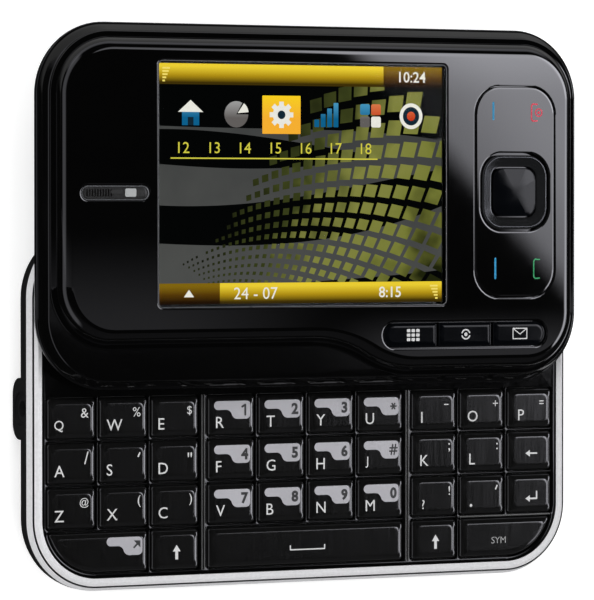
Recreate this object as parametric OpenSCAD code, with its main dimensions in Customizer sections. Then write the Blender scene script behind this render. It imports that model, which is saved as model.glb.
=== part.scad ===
// Landscape slider phone, shown open: a keyboard half below, a screen half that slides along +Y above.
// Origin: centre of the keyboard half's back face. +X right, +Y the way the screen half opens, +Z out
// of the screen. Millimetres.

/* [Both halves] */
// Length of the phone along X
body_l = 97.1; // [90:0.1:110]
// Width of each half along Y
body_w = 58; // [54:0.5:66]
// Corner radius of both halves, seen from above
corner_r = 11.5; // [10:0.5:14]
// Width of the keyboard half that stays covered when the phone is open
covered = 26; // [25:0.5:28]
// Gap between the two halves
half_gap = 0.3; // [0.2:0.05:0.6]

/* [Rear shell] */
// Height of the rear shell's rim above the back face
shell_h = 6.7; // [6.2:0.1:8]
// Radius that rounds the side walls into the back face
back_r = 5.5; // [4:0.25:5.5]
// Wall thickness of the rear shell
shell_wall = 1.6; // [1.2:0.1:2]
// Floor thickness of the rear shell
shell_floor = 1.2; // [1:0.1:1.4]

/* [Battery and cover] */
// Length of the battery cover
cover_l = 68; // [62:1:70]
// Width of the battery cover
cover_w = 40; // [38:1:42]
// Thickness of the battery cover
cover_t = 1; // [0.8:0.1:1.1]
// Corner radius of the battery cover
cover_r = 5; // [3:0.5:8]
// Place of the battery cover along X
cover_x = -6; // [-7:0.5:-5]
// Length of the battery
battery_l = 54; // [48:1:56]
// Width of the battery
battery_w = 34; // [30:1:34]
// Thickness of the battery
battery_t = 4; // [3.6:0.1:4]

/* [Silver frame] */
// Width of the frame's outer facet
facet_out_w = 0.65; // [0.4:0.05:1]
// Height of the frame's outer facet
facet_out_h = 1.3; // [1:0.1:1.5]
// Width of the frame's inner facet
facet_in_w = 1.4; // [1:0.1:1.6]
// Rise of the frame's inner facet
facet_in_h = 0.5; // [0.3:0.05:0.6]
// Width and depth of the groove between the facets
groove = 0.2; // [0.1:0.05:0.3]

/* [Keyboard] */
// Margin between the silver frame and the end columns
end_margin = 0.55; // [0.5:0.05:0.9]
// Part of the travel that the key rows leave free
row_margin = 3.6; // [3.4:0.1:4.4]
// Extra space at the two upright dividers
divider_w = 0.95; // [0.6:0.05:1]
// Width of the webs between keys
web_w = 0.3; // [0.25:0.05:0.5]
// Side gap round each key
key_gap = 0.15; // [0.1:0.01:0.2]
// Width of the sloped sides of a key
key_slope_w = 0.9; // [0.6:0.05:1.2]
// Height of the sloped sides of a key
key_slope_h = 0.7; // [0.4:0.05:0.8]
// Straight height of a key below its slopes
key_skirt_h = 0.55; // [0.4:0.05:0.6]
// Travel of a key
key_travel = 0.3; // [0.2:0.05:0.35]
// Height of the key tops below the frame's inner edge
key_drop = 0.05; // [0:0.05:0.2]
// Number of sides of a rounded key corner
key_corner_n = 3; // [2:1:4]

/* [Audio jack] */
// Bore radius for a 2.5 mm plug
jack_bore_r = 1.3; // [1.27:0.01:1.35]
// Depth of the bore
jack_bore_l = 10; // [9:0.5:11]
// Radius of the jack's nose
jack_nose_r = 2; // [1.8:0.05:2.1]
// Height of the jack's axis above the back face
jack_z = 4.3; // [4.2:0.05:4.35]
// Length of the flat boss round the jack, along Y
jack_boss_l = 9.8; // [8:0.2:12]

/* [Screen half] */
// Height of the lower casing, from its underside to the parting line
casing_h = 3.9; // [3.6:0.1:4.2]
// Height of the widest edge above the underside
casing_edge_h = 1.95; // [1.5:0.05:2.2]
// Inset of the parting line from the widest edge
parting_in = 1.47; // [1:0.05:1.8]
// Height of the front cover above the parting line
cover_h = 2.6; // [2.2:0.1:3]
// Inset of the flat face from the parting line
face_in = 2.7; // [2:0.1:3]
// Height of the open ledge below the front cover, on the left
ledge_h = 4.93; // [3:0.05:6]
// Radius of both arcs of the cover's S curve
s_curve_r = 17.6; // [12:0.2:24]
// Distance of the S curve's left end from the phone's right end
s_curve_in = 50.05; // [48:0.05:54]
// Thickness of the front cover's top wall
face_wall = 1.5; // [1.4:0.1:1.6]

/* [Display] */
// Distance of the display window from the left end
window_left = 18.95; // [18.5:0.05:22]
// Distance of the display window from the right end
window_right = 26.65; // [26:0.05:28]
// Distance of the display window from the upper side
window_top = 6.05; // [5:0.05:8]
// Distance of the display window from the lower side
window_low = 12.95; // [12:0.05:14]
// Thickness of the display window
window_t = 1; // [0.7:0.05:1.1]

/* [Front keys] */
// Distance of the navigation plate from the upper side
nav_top = 9.5; // [8:0.1:11]
// Distance of the navigation plate from the lower side
nav_low = 14.1; // [13.5:0.1:15]
// Distance of the navigation plate from the right end
nav_right = 6.6; // [6:0.1:7]
// Width of the navigation plate along X
nav_w = 14.7; // [14.2:0.1:15.2]
// Corner radius of the navigation plate
nav_r = 4.5; // [3:0.25:6]
// Outer size of the navigation ring
ring_s = 12.1; // [11:0.1:12.5]
// Corner radius of the navigation ring
ring_r = 3.6; // [3:0.1:4.5]
// Size of the centre key
centre_s = 7.9; // [7:0.1:8.4]
// Corner radius of the centre key
centre_r = 1.9; // [1.5:0.1:2.5]
// Length of the row of three shortcut keys
short_l = 30.4; // [28:0.2:32]
// Width of the row of three shortcut keys
short_w = 4.35; // [4:0.05:4.8]
// Distance of the shortcut keys from the right end
short_right = 7.95; // [7.5:0.05:8.5]
// Distance of the shortcut keys' middle line from the lower side
short_low = 8.1; // [8:0.05:8.4]
// Side gap round each front key
front_gap = 0.2; // [0.15:0.01:0.25]
// Travel of a front key
front_travel = 0.2; // [0.15:0.01:0.25]
// Height of the front keys above the face
front_proud = 0.12; // [0:0.02:0.2]

/* [Earpiece] */
// Length of the earpiece grille
ear_l = 11.6; // [10:0.1:13]
// Width of the earpiece grille
ear_w = 2.3; // [2:0.1:2.6]
// Distance of the earpiece grille from the left end
ear_left = 5.75; // [5.2:0.05:6]
// Centre of the earpiece grille along Y, from the screen half's centre
ear_y = 2.05; // [0:0.05:4]

/* [Slide mechanism] */
// Distance of each rail from the middle
rail_x = 34; // [28:0.5:36]
// Length of a rail
rail_l = 16; // [14:0.5:18]
// Width of a rail's stem, which runs in the carriage slot
rail_stem_w = 2.2; // [2:0.1:2.6]
// Width of a rail's head and of its foot
rail_head_w = 4.2; // [3.8:0.1:4.6]
// Thickness of the carriage plate
carriage_t = 0.6; // [0.5:0.05:0.7]
// Running clearance between rail and carriage
rail_gap = 0.06; // [0.04:0.01:0.08]
// Gap between a rail's end and the end of its slot
stop_gap = 0.15; // [0.1:0.05:0.3]
// Thickness of the rail plate
rail_plate_t = 0.7; // [0.6:0.05:0.8]
// Thickness of the assist spring's wire
spring_wire = 0.5; // [0.4:0.05:0.6]

/* [Side pieces] */
// Length of the volume rocker
volume_l = 14; // [12:0.5:16]
// Height of the volume rocker
volume_h = 1.8; // [1.6:0.1:1.9]
// Centre of the volume rocker along Y
volume_y = 14; // [12:0.5:15]
// How far the volume rocker stands out of the wall
volume_proud = 0.3; // [0.2:0.05:0.5]
// Radius of the volume rocker's pivot pin
volume_pin_r = 0.5; // [0.45:0.05:0.55]
// Width of the data socket
socket_w = 8; // [7.6:0.1:8.4]
// Height of the data socket
socket_h = 2.2; // [2:0.1:2.3]
// Depth of the data socket
socket_d = 6.5; // [6:0.5:8]
// Centre of the data socket along Y
socket_y = -10; // [-12:0.5:-6]

/* [Camera] */
// Radius of the camera's bezel
camera_r = 3.6; // [3:0.1:3.8]
// Distance of the camera's middle from the right end
camera_right = 12.55; // [11:0.05:13]
// Place of the camera along Y
camera_y = 12; // [8:0.5:14]

/* [Hidden] */
$fn = 64;
eps = 0.01;
seat = 0.05;

// Places in the plan
travel = body_w - covered;
window_l = body_l - window_left - window_right;
window_w = body_w - window_top - window_low;
window_x = (window_left - window_right) / 2;
window_y = (window_low - window_top) / 2;
nav_l = body_w - nav_top - nav_low;
nav_x = body_l / 2 - nav_right - nav_w / 2;
nav_y = (nav_low - nav_top) / 2;
short_x = body_l / 2 - short_right - short_l / 2;
short_y = -body_w / 2 + short_low;
ear_x = -body_l / 2 + ear_left + ear_l / 2;
camera_x = body_l / 2 - camera_right;
s_curve_x = body_l / 2 - s_curve_in;

// Heights above the back face
rim_z = shell_h + facet_out_h;
base_top = rim_z + facet_in_h;
casing_z = base_top + half_gap;
edge_z = casing_z + casing_edge_h;
parting_z = casing_z + casing_h;
face_z = parting_z + cover_h;
key_top = base_top - key_drop;
key_bottom = key_top - key_slope_h - key_skirt_h;
mat_top = key_bottom - key_travel - seat;
mat_t = 0.5;
deck_z = mat_top + seat;
deck_t = 1;
board_t = 0.8;
board_top = mat_top - mat_t - 0.2;
board_z = board_top - board_t;
battery_z = cover_t + 0.1;

// Frame and keyboard outline
frame_w = facet_out_w + facet_in_w;
pitch_x = (body_l - 2 * (frame_w + end_margin + divider_w)) / 10;
pitch_y = (travel - row_margin) / 4;
deck_in = frame_w + seat;
keys_in = deck_in + 0.65;
first_row_y = -body_w / 2 + keys_in + (pitch_y - web_w) / 2 + 3 * pitch_y;
key_l = pitch_x - web_w - 2 * key_gap;
key_w = pitch_y - web_w - 2 * key_gap;
key_r = 0.6;
cell_top_y = first_row_y + pitch_y / 2;

// Screen half
casing_floor = 0.6;
carriage_z = casing_z + casing_floor;
carriage_top = carriage_z + carriage_t;
head_z = carriage_top + rail_gap;
head_top = head_z + 0.55;
module_z = head_top + 0.35;
module_board_t = 0.6;
roof_z = face_z - face_wall;
pocket_z = roof_z + 0.35;
front_key_z = pocket_z + front_travel + seat;
front_key_top = face_z + front_proud;
cavity_z = module_z + module_board_t + 0.1;
cover_corner_r = corner_r - parting_in;
cover_end_y = body_w / 2 - parting_in;
s_turn = acos(1 - ledge_h / (2 * s_curve_r));
s_end_x = s_curve_x + 2 * s_curve_r * sin(s_turn);
ledge_y = -cover_end_y + ledge_h;
corner_x = body_l / 2 - corner_r;
corner_y = body_w / 2 - corner_r;

// Slide mechanism
rail_y = travel / 2;
rail_plate_top = rail_plate_z() + rail_plate_t;
rail_plate_l = 2 * (rail_x + rail_head_w / 2 + 4.5);
rail_plate_w = rail_l + 4;
stem_l = rail_l - rail_head_w + rail_stem_w;
slot_l = travel + stem_l + 2 * stop_gap;
carriage_w = travel + rail_l + 3.3;
spring_z = (rail_plate_top + carriage_z - spring_wire) / 2;
base_post = [-9, rail_y + 4];
slab_post = [9, rail_y + 4 + travel / 2];
post_r = 0.8;
spring_legs = 4;
spring_pitch = 3;
spring_swing = 4;

// Side pieces
wall_x = body_l / 2;
side_z = board_z - socket_h / 2 - seat;
volume_z = jack_z;
pin_gap = 0.06;
pin_x = wall_x - 1.35;
pin_l = 0.3;
nose_x = -wall_x + 0.35;
jack_end = nose_x + jack_bore_l + 0.65;
jack_body_w = 5.2;
jack_body_h = 3.9;

function rail_plate_z() = deck_z + deck_t - 0.2;
function col_x(c) = (c - 4.5) * pitch_x + (c < 3 ? -divider_w : c > 6 ? divider_w : 0);
function row_y(r) = first_row_y - r * pitch_y;

// Points along an arc, from angle a0 to a1
function arc(c, r, a0, a1, n) =
    [for (i = [0:n]) c + r * [cos(a0 + (a1 - a0) * i / n), sin(a0 + (a1 - a0) * i / n)]];

// Outline of a rectangle with rounded corners, counter-clockwise
function round_rect(c, l, w, r, n) = concat(
    arc(c + [l / 2 - r, w / 2 - r], r, 0, 90, n),
    arc(c + [-l / 2 + r, w / 2 - r], r, 90, 180, n),
    arc(c + [-l / 2 + r, -w / 2 + r], r, 180, 270, n),
    arc(c + [l / 2 - r, -w / 2 + r], r, 270, 360, n));

// Outline of the wide key in the left corner, drawn in by d: its lower left follows the frame's corner
function corner_key(d) = let (
    c = [-body_l / 2 + corner_r, -body_w / 2 + corner_r],
    r = corner_r - keys_in - d,
    top = row_y(3) + (pitch_y - web_w) / 2 - d,
    low = row_y(3) - (pitch_y - web_w) / 2 + d,
    right = col_x(1) + (pitch_x - web_w) / 2 - d,
    a = 180 + asin((c[1] - top) / r))
    concat(arc(c, r, a, 270, 12), [[right, low], [right, top]]);

// Outline of the front cover at the parting line, drawn in by d
function cover_outline(d) = let (r = cover_corner_r - d)
    concat(
        arc([-corner_x, ledge_y + cover_corner_r], r, 180, 270, 9),
        arc([s_curve_x, ledge_y - s_curve_r], s_curve_r + d, 90, 90 - s_turn, 8),
        arc([s_end_x, -cover_end_y + s_curve_r], s_curve_r - d, 270 - s_turn * 7 / 8, 270, 7),
        arc([corner_x, -corner_y], r, 270, 360, 9),
        arc([corner_x, corner_y], r, 0, 90, 9),
        arc([-corner_x, corner_y], r, 90, 180, 9));

// Keys: name, column of the left end, row, columns wide
LETTERS = ["qwertyuiop", "asdfghjkl", "zxcvbnm"];
EXTRA = [["key_backspace", 9, 1, 1], ["key_question", 7, 2, 1], ["key_stop", 8, 2, 1],
    ["key_enter", 9, 2, 1], ["key_shift_left", 2, 3, 1], ["key_space", 3, 3, 4],
    ["key_shift_right", 7, 3, 1]];
KEYS = concat(
    [for (r = [0:2]) for (i = [0:len(LETTERS[r]) - 1]) [str("key_", LETTERS[r][i]), i, r, 1]],
    EXTRA);

function key_x(k) = (col_x(k[1]) + col_x(k[1] + k[3] - 1)) / 2;
function key_len(k) = key_l + (k[3] - 1) * pitch_x;

// Solid through a stack of outlines, each [points, height], from the lowest up. A closed one is a ring
module loft(slices, closed = false) {
    n = len(slices[0][0]);
    m = len(slices);
    points = [for (s = slices) for (p = s[0]) [p[0], p[1], s[1]]];
    low = [for (i = [0:n - 1]) i];
    high = [for (i = [n - 1:-1:0]) (m - 1) * n + i];
    sides = [for (k = [0:m - (closed ? 1 : 2)]) for (i = [0:n - 1])
        let (a = k * n, b = (k + 1) % m * n, j = (i + 1) % n)
            each [[a + i, b + i, b + j], [a + i, b + j, a + j]]];
    polyhedron(points, closed ? sides : concat([low, high], sides));
}

// Rectangle with rounded corners
module plate(l, w, r) {
    square([l, w - 2 * r], center = true);
    square([l - 2 * r, w], center = true);
    for (sx = [-1, 1], sy = [-1, 1])
        translate([sx * (l / 2 - r), sy * (w / 2 - r)]) circle(r);
}

// Profile carried round a rounded rectangle: each point is [inset, height]
module band(l, w, r, profile) {
    section = [for (p = profile) [r - p[0], p[1]]];
    for (i = [0:3])
        translate([(i == 0 || i == 3 ? 1 : -1) * (l / 2 - r), (i < 2 ? 1 : -1) * (w / 2 - r), 0])
            rotate([0, 0, 90 * i]) rotate_extrude(angle = 90) polygon(section);
    for (a = [0, 180]) rotate([0, 0, a]) {
        translate([l / 2 - r, 0, 0])
            rotate([90, 0, 0]) linear_extrude(w - 2 * r, center = true) polygon(section);
        translate([0, w / 2 - r, 0])
            rotate([90, 0, 90]) linear_extrude(l - 2 * r, center = true) polygon(section);
    }
}

// Solid with a profile round its edge, from the lowest point up
module slab_solid(l, w, r, profile) {
    low = profile[0][1];
    high = profile[len(profile) - 1][1];
    band(l, w, r, concat([[r, low]], profile, [[r, high]]));
    translate([0, 0, (low + high) / 2]) cube([l - 2 * r, w - 2 * r, high - low], center = true);
}

// Profile of a wall that rounds into a flat back, from the back up
function round_wall(inset, z, r, top) =
    concat([for (i = [0:8]) [inset + r * (1 - sin(90 * i / 8)), z + r * (1 - cos(90 * i / 8))]],
        [[inset, top]]);

// Bar with round ends
module stadium(l, w) {
    square([l - w, w], center = true);
    for (s = [-1, 1]) translate([s * (l - w) / 2, 0]) circle(w / 2);
}

module rear_shell() {
    cover_gap = 0.1;
    seat_w = 2;
    post = [wall_x - 9, body_w / 2 - 9];
    speaker_y = -9;
    speaker_pitch = 1.6;
    speaker_slot_l = 5;
    boss_low = 1.1;
    mouth_l = 5.4;
    mouth_h = 4.6;
    mouth_depth = 0.3;
    board_post_r = 1.6;
    pivot_l = 3;
    color([0.05, 0.05, 0.055]) difference() {
        union() {
            difference() {
                union() {
                    slab_solid(body_l, body_w, corner_r, round_wall(0, 0, back_r, shell_h));
                    translate([-wall_x, 0, (shell_h + boss_low) / 2]) rotate([90, 0, 90])
                        linear_extrude(5) plate(jack_boss_l, shell_h - boss_low, 2.7);
                }
                slab_solid(body_l, body_w, corner_r,
                    round_wall(shell_wall, shell_floor, back_r - shell_wall, shell_h + 1));
            }
            translate([cover_x, 0, cover_t]) linear_extrude(1)
                plate(cover_l + 2 * seat_w, cover_w + 2 * seat_w, cover_r + seat_w);
            for (sx = [-1, 1], sy = [-1, 1])
                translate([sx * post[0], sy * post[1], shell_floor - eps])
                    cylinder(r = board_post_r, h = board_z - shell_floor);
            translate([pin_x - 1.3, volume_y - pivot_l / 2, shell_floor + 1])
                cube([1.6, pivot_l, board_top - shell_floor - 1.2]);
        }
        translate([cover_x, 0, -1]) linear_extrude(cover_t + 1 + seat)
            plate(cover_l + 2 * cover_gap, cover_w + 2 * cover_gap, cover_r + cover_gap);
        translate([cover_x, 0, 0]) linear_extrude(shell_h)
            plate(battery_l + 1, battery_w + 1, 1);
        translate([camera_x, camera_y, -1]) cylinder(r = camera_r + cover_gap, h = 4);
        for (i = [-2:2]) translate([camera_x, speaker_y + speaker_pitch * i, -1])
            linear_extrude(shell_floor + 2) stadium(speaker_slot_l, speaker_pitch / 2);
        translate([-wall_x - 1, 0, jack_z]) rotate([0, 90, 0])
            cylinder(r = jack_nose_r + seat, h = 5);
        translate([-wall_x - 1, 0, jack_z]) rotate([90, 0, 90])
            linear_extrude(mouth_depth + 1) plate(mouth_l, mouth_h, 2.2);
        translate([nose_x + 1.75, -jack_body_w / 2 - 0.1, jack_z - jack_body_h / 2 - 0.1])
            cube([jack_bore_l, jack_body_w + 0.2, shell_h]);
        translate([wall_x - 3, socket_y - socket_w / 2 - 0.1, side_z - socket_h / 2 - 0.1])
            cube([4, socket_w + 0.2, socket_h + 0.2]);
        translate([wall_x - 3.5, volume_y - volume_l / 2 - 0.25, volume_z - volume_h / 2 - 0.15])
            cube([4.5, volume_l + 0.5, volume_h + 0.3]);
        translate([pin_x, volume_y, volume_z - volume_h / 2 - pin_l - 0.1])
            cylinder(r = volume_pin_r + pin_gap, h = volume_h + 2 * pin_l + 0.2, $fn = 32);
    }
}

module battery_cover() {
    color([0.04, 0.04, 0.045]) translate([cover_x, 0, 0]) difference() {
        linear_extrude(cover_t) plate(cover_l, cover_w, cover_r);
        translate([cover_l / 2 + 1.6, 0, -1]) cylinder(r = 3.2, h = cover_t + 0.4);
    }
}

module battery() {
    contact = 1.6;
    color([0.3, 0.3, 0.32]) translate([cover_x, 0, battery_z]) difference() {
        translate([-battery_l / 2, -battery_w / 2, 0]) cube([battery_l, battery_w, battery_t]);
        for (i = [-1:1]) translate([battery_l / 2 - 0.3, 3 * i - contact / 2, battery_t / 2 - 1])
            cube([1, contact, 2]);
    }
}

module silver_frame() {
    leg = 0.5;
    color([0.85, 0.85, 0.86]) band(body_l, body_w, corner_r, [
        [0, shell_h],
        [0, shell_h + seat],
        [facet_out_w - groove / 2, rim_z],
        [facet_out_w, rim_z - groove],
        [facet_out_w + groove / 2, rim_z],
        [frame_w, base_top],
        [frame_w, shell_h - 0.6],
        [frame_w - leg + 0.1, shell_h - 0.6],
        [frame_w - leg + 0.1, shell_h]]);
}

module keypad_frame() {
    color([0.06, 0.06, 0.065]) {
        difference() {
            translate([0, 0, deck_z]) linear_extrude(deck_t)
                plate(body_l - 2 * deck_in, body_w - 2 * deck_in, corner_r - deck_in);
            for (k = KEYS) translate([key_x(k), row_y(k[2]), deck_z - 1])
                linear_extrude(deck_t + 2)
                    plate(key_len(k) + 2 * key_gap, key_w + 2 * key_gap, key_r + key_gap);
            for (m = [0, 1]) mirror([m, 0, 0]) translate([0, 0, deck_z - 1])
                linear_extrude(deck_t + 2) polygon(corner_key(0));
            translate([0, rail_y, rail_plate_z()]) linear_extrude(deck_t)
                plate(rail_plate_l + 2 * seat, rail_plate_w + 2 * seat, 1.5);
        }
        translate([0, rail_y, board_top + 0.1]) linear_extrude(deck_z - board_top - 0.1)
            plate(rail_plate_l, rail_plate_w, 1.5);
    }
}

module key_mat() {
    color([0.25, 0.25, 0.27]) translate([0, 0, mat_top - mat_t]) linear_extrude(mat_t)
        intersection() {
            plate(body_l - 2 * keys_in, body_w - 2 * keys_in, corner_r - keys_in);
            translate([-body_l / 2, -body_w / 2]) square([body_l, body_w / 2 + cell_top_y]);
        }
}

module main_board() {
    board_in = 3.4;
    color([0.1, 0.3, 0.18]) translate([0, 0, board_z]) linear_extrude(board_t) difference() {
        plate(body_l - 2 * board_in, body_w - 2 * board_in, corner_r - board_in);
        translate([-wall_x, -jack_body_w / 2 - 0.2])
            square([jack_end + wall_x + 0.3, jack_body_w + 0.4]);
    }
}

module audio_jack() {
    body_x = nose_x + 1.8;
    color([0.12, 0.12, 0.13]) difference() {
        union() {
            translate([nose_x, 0, jack_z]) rotate([0, 90, 0]) cylinder(r = jack_nose_r, h = 2);
            translate([body_x, -jack_body_w / 2, jack_z - jack_body_h / 2])
                cube([jack_end - body_x, jack_body_w, jack_body_h]);
        }
        translate([nose_x - 1, 0, jack_z]) rotate([0, 90, 0])
            cylinder(r = jack_bore_r, h = jack_bore_l + 1);
    }
}

module data_socket() {
    wall = 0.35;
    color([0.7, 0.7, 0.72]) translate([wall_x - 0.1 - socket_d, socket_y, side_z]) difference() {
        translate([0, -socket_w / 2, -socket_h / 2]) cube([socket_d, socket_w, socket_h]);
        difference() {
            translate([1, -socket_w / 2 + wall, -socket_h / 2 + wall])
                cube([socket_d, socket_w - 2 * wall, socket_h - 2 * wall]);
            translate([0, -socket_w / 2 + 1.6, -0.05]) cube([socket_d - 1, socket_w - 3.2, 0.5]);
        }
    }
}

module camera_module() {
    depth = board_z - 0.25;
    color([0.03, 0.03, 0.035]) translate([camera_x, camera_y, 0.15]) difference() {
        cylinder(r = camera_r, h = depth - 0.15);
        translate([0, 0, -1]) cylinder(r = camera_r - 0.8, h = 1.3);
        translate([0, 0, -1]) cylinder(r1 = 2.2, r2 = 1, h = 2.4);
    }
}

module volume_rocker() {
    depth = 2.2;
    color([0.08, 0.08, 0.085]) {
        translate([wall_x - depth, volume_y - volume_l / 2, volume_z - volume_h / 2])
            cube([depth + volume_proud, volume_l, volume_h]);
        translate([pin_x, volume_y, volume_z - volume_h / 2 - pin_l])
            cylinder(r = volume_pin_r, h = volume_h + 2 * pin_l, $fn = 32);
    }
}

module slide_rails() {
    foot_h = carriage_z - rail_gap - rail_plate_top;
    color([0.6, 0.6, 0.62]) {
        translate([0, rail_y, rail_plate_z()]) linear_extrude(rail_plate_t)
            plate(rail_plate_l, rail_plate_w, 1.5);
        for (sx = [-1, 1]) translate([sx * rail_x, rail_y, 0]) rotate([0, 0, 90]) {
            translate([0, 0, rail_plate_top]) linear_extrude(foot_h)
                stadium(rail_l, rail_head_w);
            translate([0, 0, rail_plate_top]) linear_extrude(head_z - rail_plate_top)
                stadium(stem_l, rail_stem_w);
            translate([0, 0, head_z]) linear_extrude(head_top - head_z)
                stadium(rail_l, rail_head_w);
        }
        translate([base_post[0], base_post[1], rail_plate_top])
            cylinder(r = post_r, h = spring_z + spring_wire + 0.05 - rail_plate_top);
    }
}

module slide_carriage() {
    color([0.5, 0.5, 0.52]) translate([0, travel, 0]) {
        translate([0, 0, carriage_z]) linear_extrude(carriage_t) difference() {
            plate(2 * (rail_x + 6.5), carriage_w, 2);
            for (sx = [-1, 1]) translate([sx * rail_x, 0]) rotate([0, 0, 90])
                stadium(slot_l, rail_stem_w + 2 * rail_gap);
        }
        translate([slab_post[0], slab_post[1] - travel, spring_z - 0.05])
            cylinder(r = post_r, h = carriage_z - spring_z + 0.05 + eps);
    }
}

module assist_spring() {
    w = spring_wire;
    d = slab_post - base_post;
    reach = norm(d);
    eye = post_r + seat;
    x0 = reach / 2 - (spring_legs - 1) / 2 * spring_pitch;
    color([0.75, 0.75, 0.78]) translate([base_post[0], base_post[1], spring_z])
        rotate([0, 0, atan2(d[1], d[0])]) {
            for (x = [0, reach]) translate([x, 0, 0]) difference() {
                cylinder(r = eye + w, h = w);
                translate([0, 0, -1]) cylinder(r = eye, h = w + 2);
            }
            for (x = [eye + w / 2, reach - x0 - w / 2])
                translate([x, -w / 2, 0]) cube([x0 - eye, w, w]);
            for (i = [0:spring_legs - 1]) {
                low = i == 0 || i == spring_legs - 1 ? 0 : -spring_swing;
                translate([x0 + i * spring_pitch - w / 2, low - (low == 0 ? w / 2 : 0), 0])
                    cube([w, spring_swing - low + (low == 0 ? w / 2 : 0), w]);
            }
            for (i = [0:spring_legs - 2])
                translate([x0 + (i + 0.5) * spring_pitch, (i % 2 == 0 ? 1 : -1) * spring_swing, 0])
                    rotate([0, 0, i % 2 == 0 ? 0 : 180]) rotate_extrude(angle = 180)
                        translate([(spring_pitch - w) / 2, 0]) square(w);
        }
}

module slab_shell() {
    color([0.03, 0.03, 0.035]) translate([0, travel, 0]) difference() {
        slab_solid(body_l, body_w, corner_r, [
            [1.1, casing_z],
            [0.45, casing_z + 0.3],
            [0.1, casing_z + 1.05],
            [0, edge_z],
            [parting_in, parting_z]]);
        translate([0, 0, carriage_z]) linear_extrude(cavity_z - carriage_z)
            plate(body_l - 4.4, body_w - 4.4, corner_r - 2.2);
        translate([0, 0, carriage_z]) linear_extrude(casing_h) polygon(cover_outline(1.3));
        translate([0, 0, casing_z - 1]) linear_extrude(casing_floor + 2)
            plate(2 * (rail_x + 4.5), carriage_w - 2, 2.5);
    }
}

module front_cover() {
    lip = 0.9;
    lip_z = parting_z + 0.4;
    wall = 1.9;
    steps = 6;
    profile = concat(
        [[face_in, roof_z], [wall, roof_z], [wall, parting_z], [0, parting_z], [0, parting_z + 0.2],
            [lip, lip_z]],
        [for (i = [1:steps]) let (a = 90 * i / steps)
            [lip + (face_in - lip) * (1 - cos(a)), lip_z + (face_z - lip_z) * sin(a)]]);
    color([0.02, 0.02, 0.022]) translate([0, travel, 0]) difference() {
        union() {
            loft([for (p = profile) [cover_outline(p[0]), p[1]]], closed = true);
            translate([0, 0, roof_z]) linear_extrude(face_wall) polygon(cover_outline(face_in));
        }
        translate([window_x, window_y, roof_z - 1]) linear_extrude(face_wall + 2)
            plate(window_l + 0.1, window_w + 0.1, 0.85);
        translate([nav_x, nav_y, pocket_z]) linear_extrude(face_wall)
            plate(nav_w + 2 * front_gap, nav_l + 2 * front_gap, nav_r + front_gap);
        translate([short_x, short_y, pocket_z]) linear_extrude(face_wall)
            stadium(short_l, short_w);
        translate([ear_x, ear_y, pocket_z]) linear_extrude(face_wall)
            stadium(ear_l + 2 * seat, ear_w + 2 * seat);
    }
}

module display_window() {
    color([0.1, 0.1, 0.12]) translate([window_x, travel + window_y, face_z - 0.05 - window_t])
        linear_extrude(window_t) plate(window_l, window_w, 0.8);
}

module display_module() {
    module_in = 5.8;
    module_y = 2.5;
    color([0.2, 0.2, 0.22]) translate([0, travel, 0]) {
        translate([0, module_y, module_z]) linear_extrude(module_board_t)
            plate(body_l - 2 * module_in, body_w - 2 * module_in, 5);
        translate([window_x, window_y, module_z]) {
            linear_extrude(roof_z - 0.05 - module_z) plate(window_l + 5, window_w + 4, 0.6);
            linear_extrude(face_z - 0.1 - window_t - module_z)
                plate(window_l - 0.3, window_w - 0.3, 0.6);
        }
    }
}

module earpiece_grille() {
    color([0.12, 0.12, 0.13]) translate([ear_x, travel + ear_y, 0]) difference() {
        translate([0, 0, pocket_z]) linear_extrude(face_z - 0.1 - pocket_z)
            stadium(ear_l, ear_w);
        for (i = [0:9]) translate([-4.9 + 0.5 * i, 0, face_z - 0.5]) linear_extrude(1)
            square([0.25, ear_w - 1], center = true);
        translate([2.5, 0, face_z - 0.4]) linear_extrude(1) plate(2.2, 1.2, 0.4);
    }
}

module nav_plate() {
    color([0.05, 0.05, 0.055]) translate([nav_x, travel + nav_y, front_key_z])
        linear_extrude(face_z - front_key_z) difference() {
            plate(nav_w, nav_l, nav_r);
            plate(ring_s + 4 * front_gap, ring_s + 4 * front_gap, ring_r + 2 * front_gap);
        }
}

module nav_ring() {
    s = ring_s;
    w = (ring_s - centre_s) / 2 - front_gap;
    color([0.2, 0.2, 0.21]) translate([nav_x, travel + nav_y, 0])
        band(s, s, ring_r, [
            [0, front_key_z],
            [0, face_z - 0.1],
            [0.35, front_key_top],
            [w - 0.5, front_key_top - 0.05],
            [w, face_z - 0.3],
            [w, front_key_z]]);
}

module centre_key() {
    color([0.05, 0.05, 0.055]) translate([nav_x, travel + nav_y, 0])
        slab_solid(centre_s, centre_s, centre_r,
            [[0, front_key_z], [0, face_z - 0.1], [0.25, front_key_top]]);
}

// One of the three shortcut keys, 0 to 2 from the left
module shortcut_key(i) {
    pitch = short_l / 3;
    h = front_key_top - front_key_z;
    color([0.05, 0.05, 0.055]) translate([short_x, travel + short_y, front_key_z])
        linear_extrude(h) intersection() {
            stadium(short_l - 2 * front_gap, short_w - 2 * front_gap);
            translate([(i - 1) * pitch, 0]) square([pitch - 0.35, short_w], center = true);
        }
}

// A key with sloped sides
module keytop(k) {
    c = [key_x(k), row_y(k[2])];
    l = key_len(k);
    top = 2 * key_slope_w;
    color([0.07, 0.07, 0.075]) loft([
        [round_rect(c, l, key_w, key_r, key_corner_n), key_bottom],
        [round_rect(c, l, key_w, key_r, key_corner_n), key_bottom + key_skirt_h],
        [round_rect(c, l - top, key_w - top, key_r, key_corner_n), key_top]]);
}

// A wide key in a lower corner of the keyboard: side 0 is the left one
module corner_keytop(side) {
    color([0.07, 0.07, 0.075]) mirror([side, 0, 0]) loft([
        [corner_key(key_gap), key_bottom],
        [corner_key(key_gap), key_bottom + key_skirt_h],
        [corner_key(key_gap + key_slope_w), key_top]]);
}

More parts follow.
